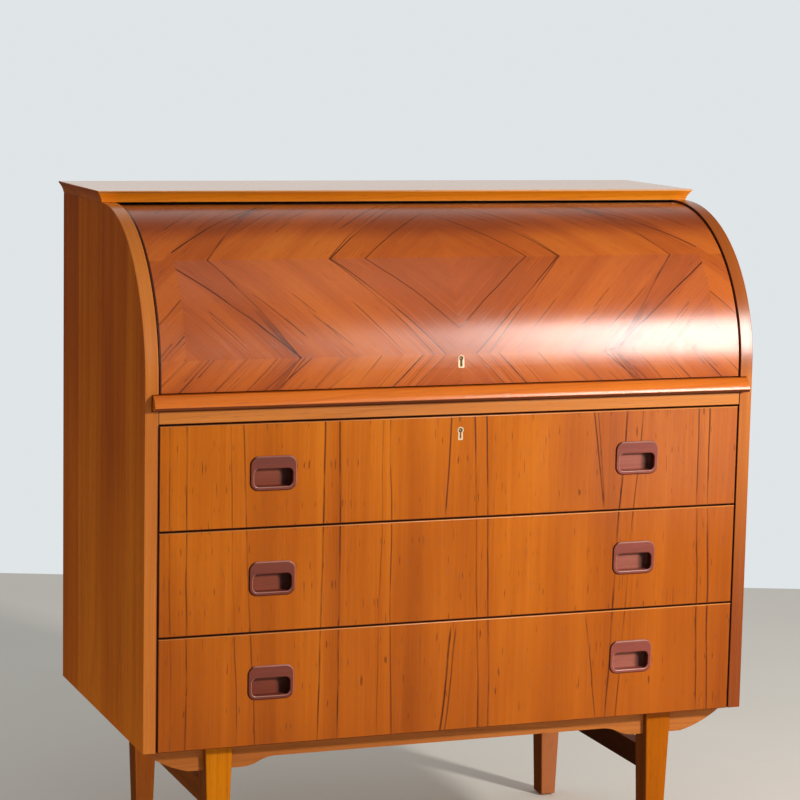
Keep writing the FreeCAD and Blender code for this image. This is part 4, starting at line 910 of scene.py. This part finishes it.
def part_of_pull(band, way):
    """A pull's own wood, its left and lower sides in painted shade, its rims that face up or right with a
    painted highlight, the right wall of its hole in painted shade, and the floor of its hole."""
    up_or_right = max(way.x, way.z)
    down_or_left = min(way.x, way.z)
    if band == OUTER_WALL or band in OUTER_ROUND:
        if down_or_left < -0.2:
            return SHADED_RIM
        return HIGHLIT_RIM if band in OUTER_ROUND and up_or_right > 0.3 else OWN_WOOD
    if band in HOLE_ROUND:
        return HIGHLIT_RIM if up_or_right > 0.2 else OWN_WOOD
    if band in HOLE_WALL and way.x < -0.3:
        return SHADED_RIM
    return HOLE_WOOD if band in HOLE_FLOOR else OWN_WOOD


def finger_pulls(number):
    """The two finger pulls of a drawer: rounded blocks with a hole undercut behind its upper bar."""
    shape = bmesh.new()
    pulls = [skinned(shape, [ring(x, y, PULL_HEIGHTS[number] - down, half_wide, half_tall, corner)
                             for half_wide, half_tall, corner, y, down in PULL_ROWS], closed=False)
             for x in (-PULL_SPREAD, PULL_SPREAD)]
    bmesh.ops.recalc_face_normals(shape, faces=shape.faces)
    for bands in pulls:
        for place, band in enumerate(bands):
            for face in band:
                face.material_index = part_of_pull(place, face.normal)
    rounded = [face for face in shape.faces if abs(face.normal.y) < 0.9999]
    shown_as(shape, f"drawer_{number}_pulls", (pull_wood, pull_shade_rim, pull_highlight, pull_hollow), rounded)


def show_face(way, middle):
    """The veneered face of a drawer front, against its edges and back in painted shade."""
    # painted shade: edges and back darkened so the gaps between the drawers read black
    return 0 if abs(way.y) > 0.7 else 1


def top_or_end(way):
    """The top arris of a drawer front with a painted highlight, against its ends and lower arris in
    painted shade.
    """
    return 2 if way.z > 0.2 and way.y < 0.0 else 1


def along_or_across(way, middle):
    """The sides of a box, with their grain from front to back, and its back and front, with it across."""
    return 1 if abs(way.y) > 0.7 or abs(middle.x) < 0.3 else 0


for number in (1, 2, 3):
    eased(f"drawer_{number}_front", 0.0011, drawer_veneer, painted_shade_edge, highlight_arris, choose=show_face,
          arris=top_or_end, least=0.05)
    finger_pulls(number)
    eased(f"drawer_{number}_box", 0.0006, pine_deep, pine_across, choose=along_or_across)
    eased(f"drawer_{number}_bottom", 0.0, ply_across)

# The locks: a steel case let in behind the fall and another behind the top drawer, each with a brass
# bolt, and a small brass keyhole plate let into the wood in front of it.
plate_brass = metal("plate_brass", (0.90, 0.68, 0.44), (0.80, 0.56, 0.33), 0.36, metallic=0.25)
dress(steel, "fall_lock_case", "drawer_lock_case")
dress(brass, "fall_lock_bolt", "drawer_lock_bolt")


def keyhole_ring(eye, head, foot, half_foot, y, waist, steps=14):
    """Points round a keyhole shape: a round head over a foot, with the foot's corners taken off."""
    low = -math.acos(waist)
    points = []
    for step in range(steps + 1):
        turn = low + (math.pi - 2.0 * low) * step / steps
        points.append((head * math.cos(turn), y, eye + head * math.sin(turn)))
    nick = min(half_foot * 0.5, 0.0009)
    points += [(-half_foot, y, foot + nick), (-half_foot + nick, y, foot), (half_foot - nick, y, foot),
               (half_foot, y, foot + nick)]
    return points


PLATE_DEPTH = 0.0056
PLATE_ROUND = 0.0002
PIN_RADIUS = 0.0009
PIN_ENDS = (0.0054, 0.0016)
PIN_SIDES = 8


def keyhole_plate(node, eye, rim, hole, front, turn=0.0):
    """A brass plate with rounded edges round its keyhole; rim and hole are each a head's radius, a foot's
    height, half a foot's width and how narrow the waist is. The lock's pin stands in the hole."""
    shape = bmesh.new()
    rows = []
    for (head, foot, half_foot, waist), grow, depth in (
            (rim, 0.0, PLATE_DEPTH), (rim, 0.0, PLATE_ROUND), (rim, -PLATE_ROUND, 0.0),
            (hole, PLATE_ROUND, 0.0), (hole, 0.0, PLATE_ROUND), (hole, 0.0, PLATE_DEPTH)):
        rows.append(keyhole_ring(eye, head + grow, foot - grow, half_foot + grow, front + depth, waist))
    skinned(shape, rows, closed=True)
    pin = []
    for depth in PIN_ENDS:
        angles = [step * 2.0 * math.pi / PIN_SIDES for step in range(PIN_SIDES)]
        pin.append([(PIN_RADIUS * math.cos(angle), front + depth, eye + PIN_RADIUS * math.sin(angle))
                    for angle in angles])
    skinned(shape, pin, closed=False)
    bmesh.ops.recalc_face_normals(shape, faces=shape.faces)
    for vert in shape.verts if turn else ():
        out, up = AXIS_Y - vert.co.y, vert.co.z - AXIS_Z
        vert.co.y = AXIS_Y - (out * math.cos(turn) - up * math.sin(turn))
        vert.co.z = AXIS_Z + out * math.sin(turn) + up * math.cos(turn)
    shown_as(shape, node, (plate_brass,))


FALL_PLATE_RISE = 0.0195
FALL_PLATE_PROUD = 0.0004
keyhole_plate("fall_keyhole_plate", eye=AXIS_Z + 0.0043, rim=(0.0047, AXIS_Z - 0.0090, 0.0046, 0.97),
              hole=(0.0030, AXIS_Z - 0.0072, 0.0018, 0.5), front=AXIS_Y - FALL_RADIUS - FALL_PLATE_PROUD,
              turn=math.asin(FALL_PLATE_RISE / FALL_RADIUS))
keyhole_plate("drawer_keyhole_plate", eye=0.6649, rim=(0.0047, 0.6510, 0.0037, 0.72),
              hole=(0.0030, 0.6532, 0.0012, 0.35), front=-0.2199)

# The gallery behind the fall: thin teak boards housed together into pigeonholes, with a plywood back
# bent to the curve and two small trays that draw out by turned knobs.
gallery_tones = ((0.30, 0.085, 0.022), (0.40, 0.125, 0.034), (0.49, 0.165, 0.046), (0.58, 0.22, 0.066))
gallery_long = timber("gallery_long", "X", gallery_tones, satin=0.42)
gallery_up = timber("gallery_up", "Z", gallery_tones, satin=0.42)
for name in ("gallery_base", "gallery_shelves", "gallery_top", "tray_left_front", "tray_right_front"):
    eased(name, 0.0006, gallery_long)
eased("gallery_uprights", 0.0006, gallery_up)
dress(ply_across, "gallery_back")
for side in ("left", "right"):
    eased(f"tray_{side}_box", 0.0004, pine_deep)
    dress(pull_wood, f"tray_{side}_knob")
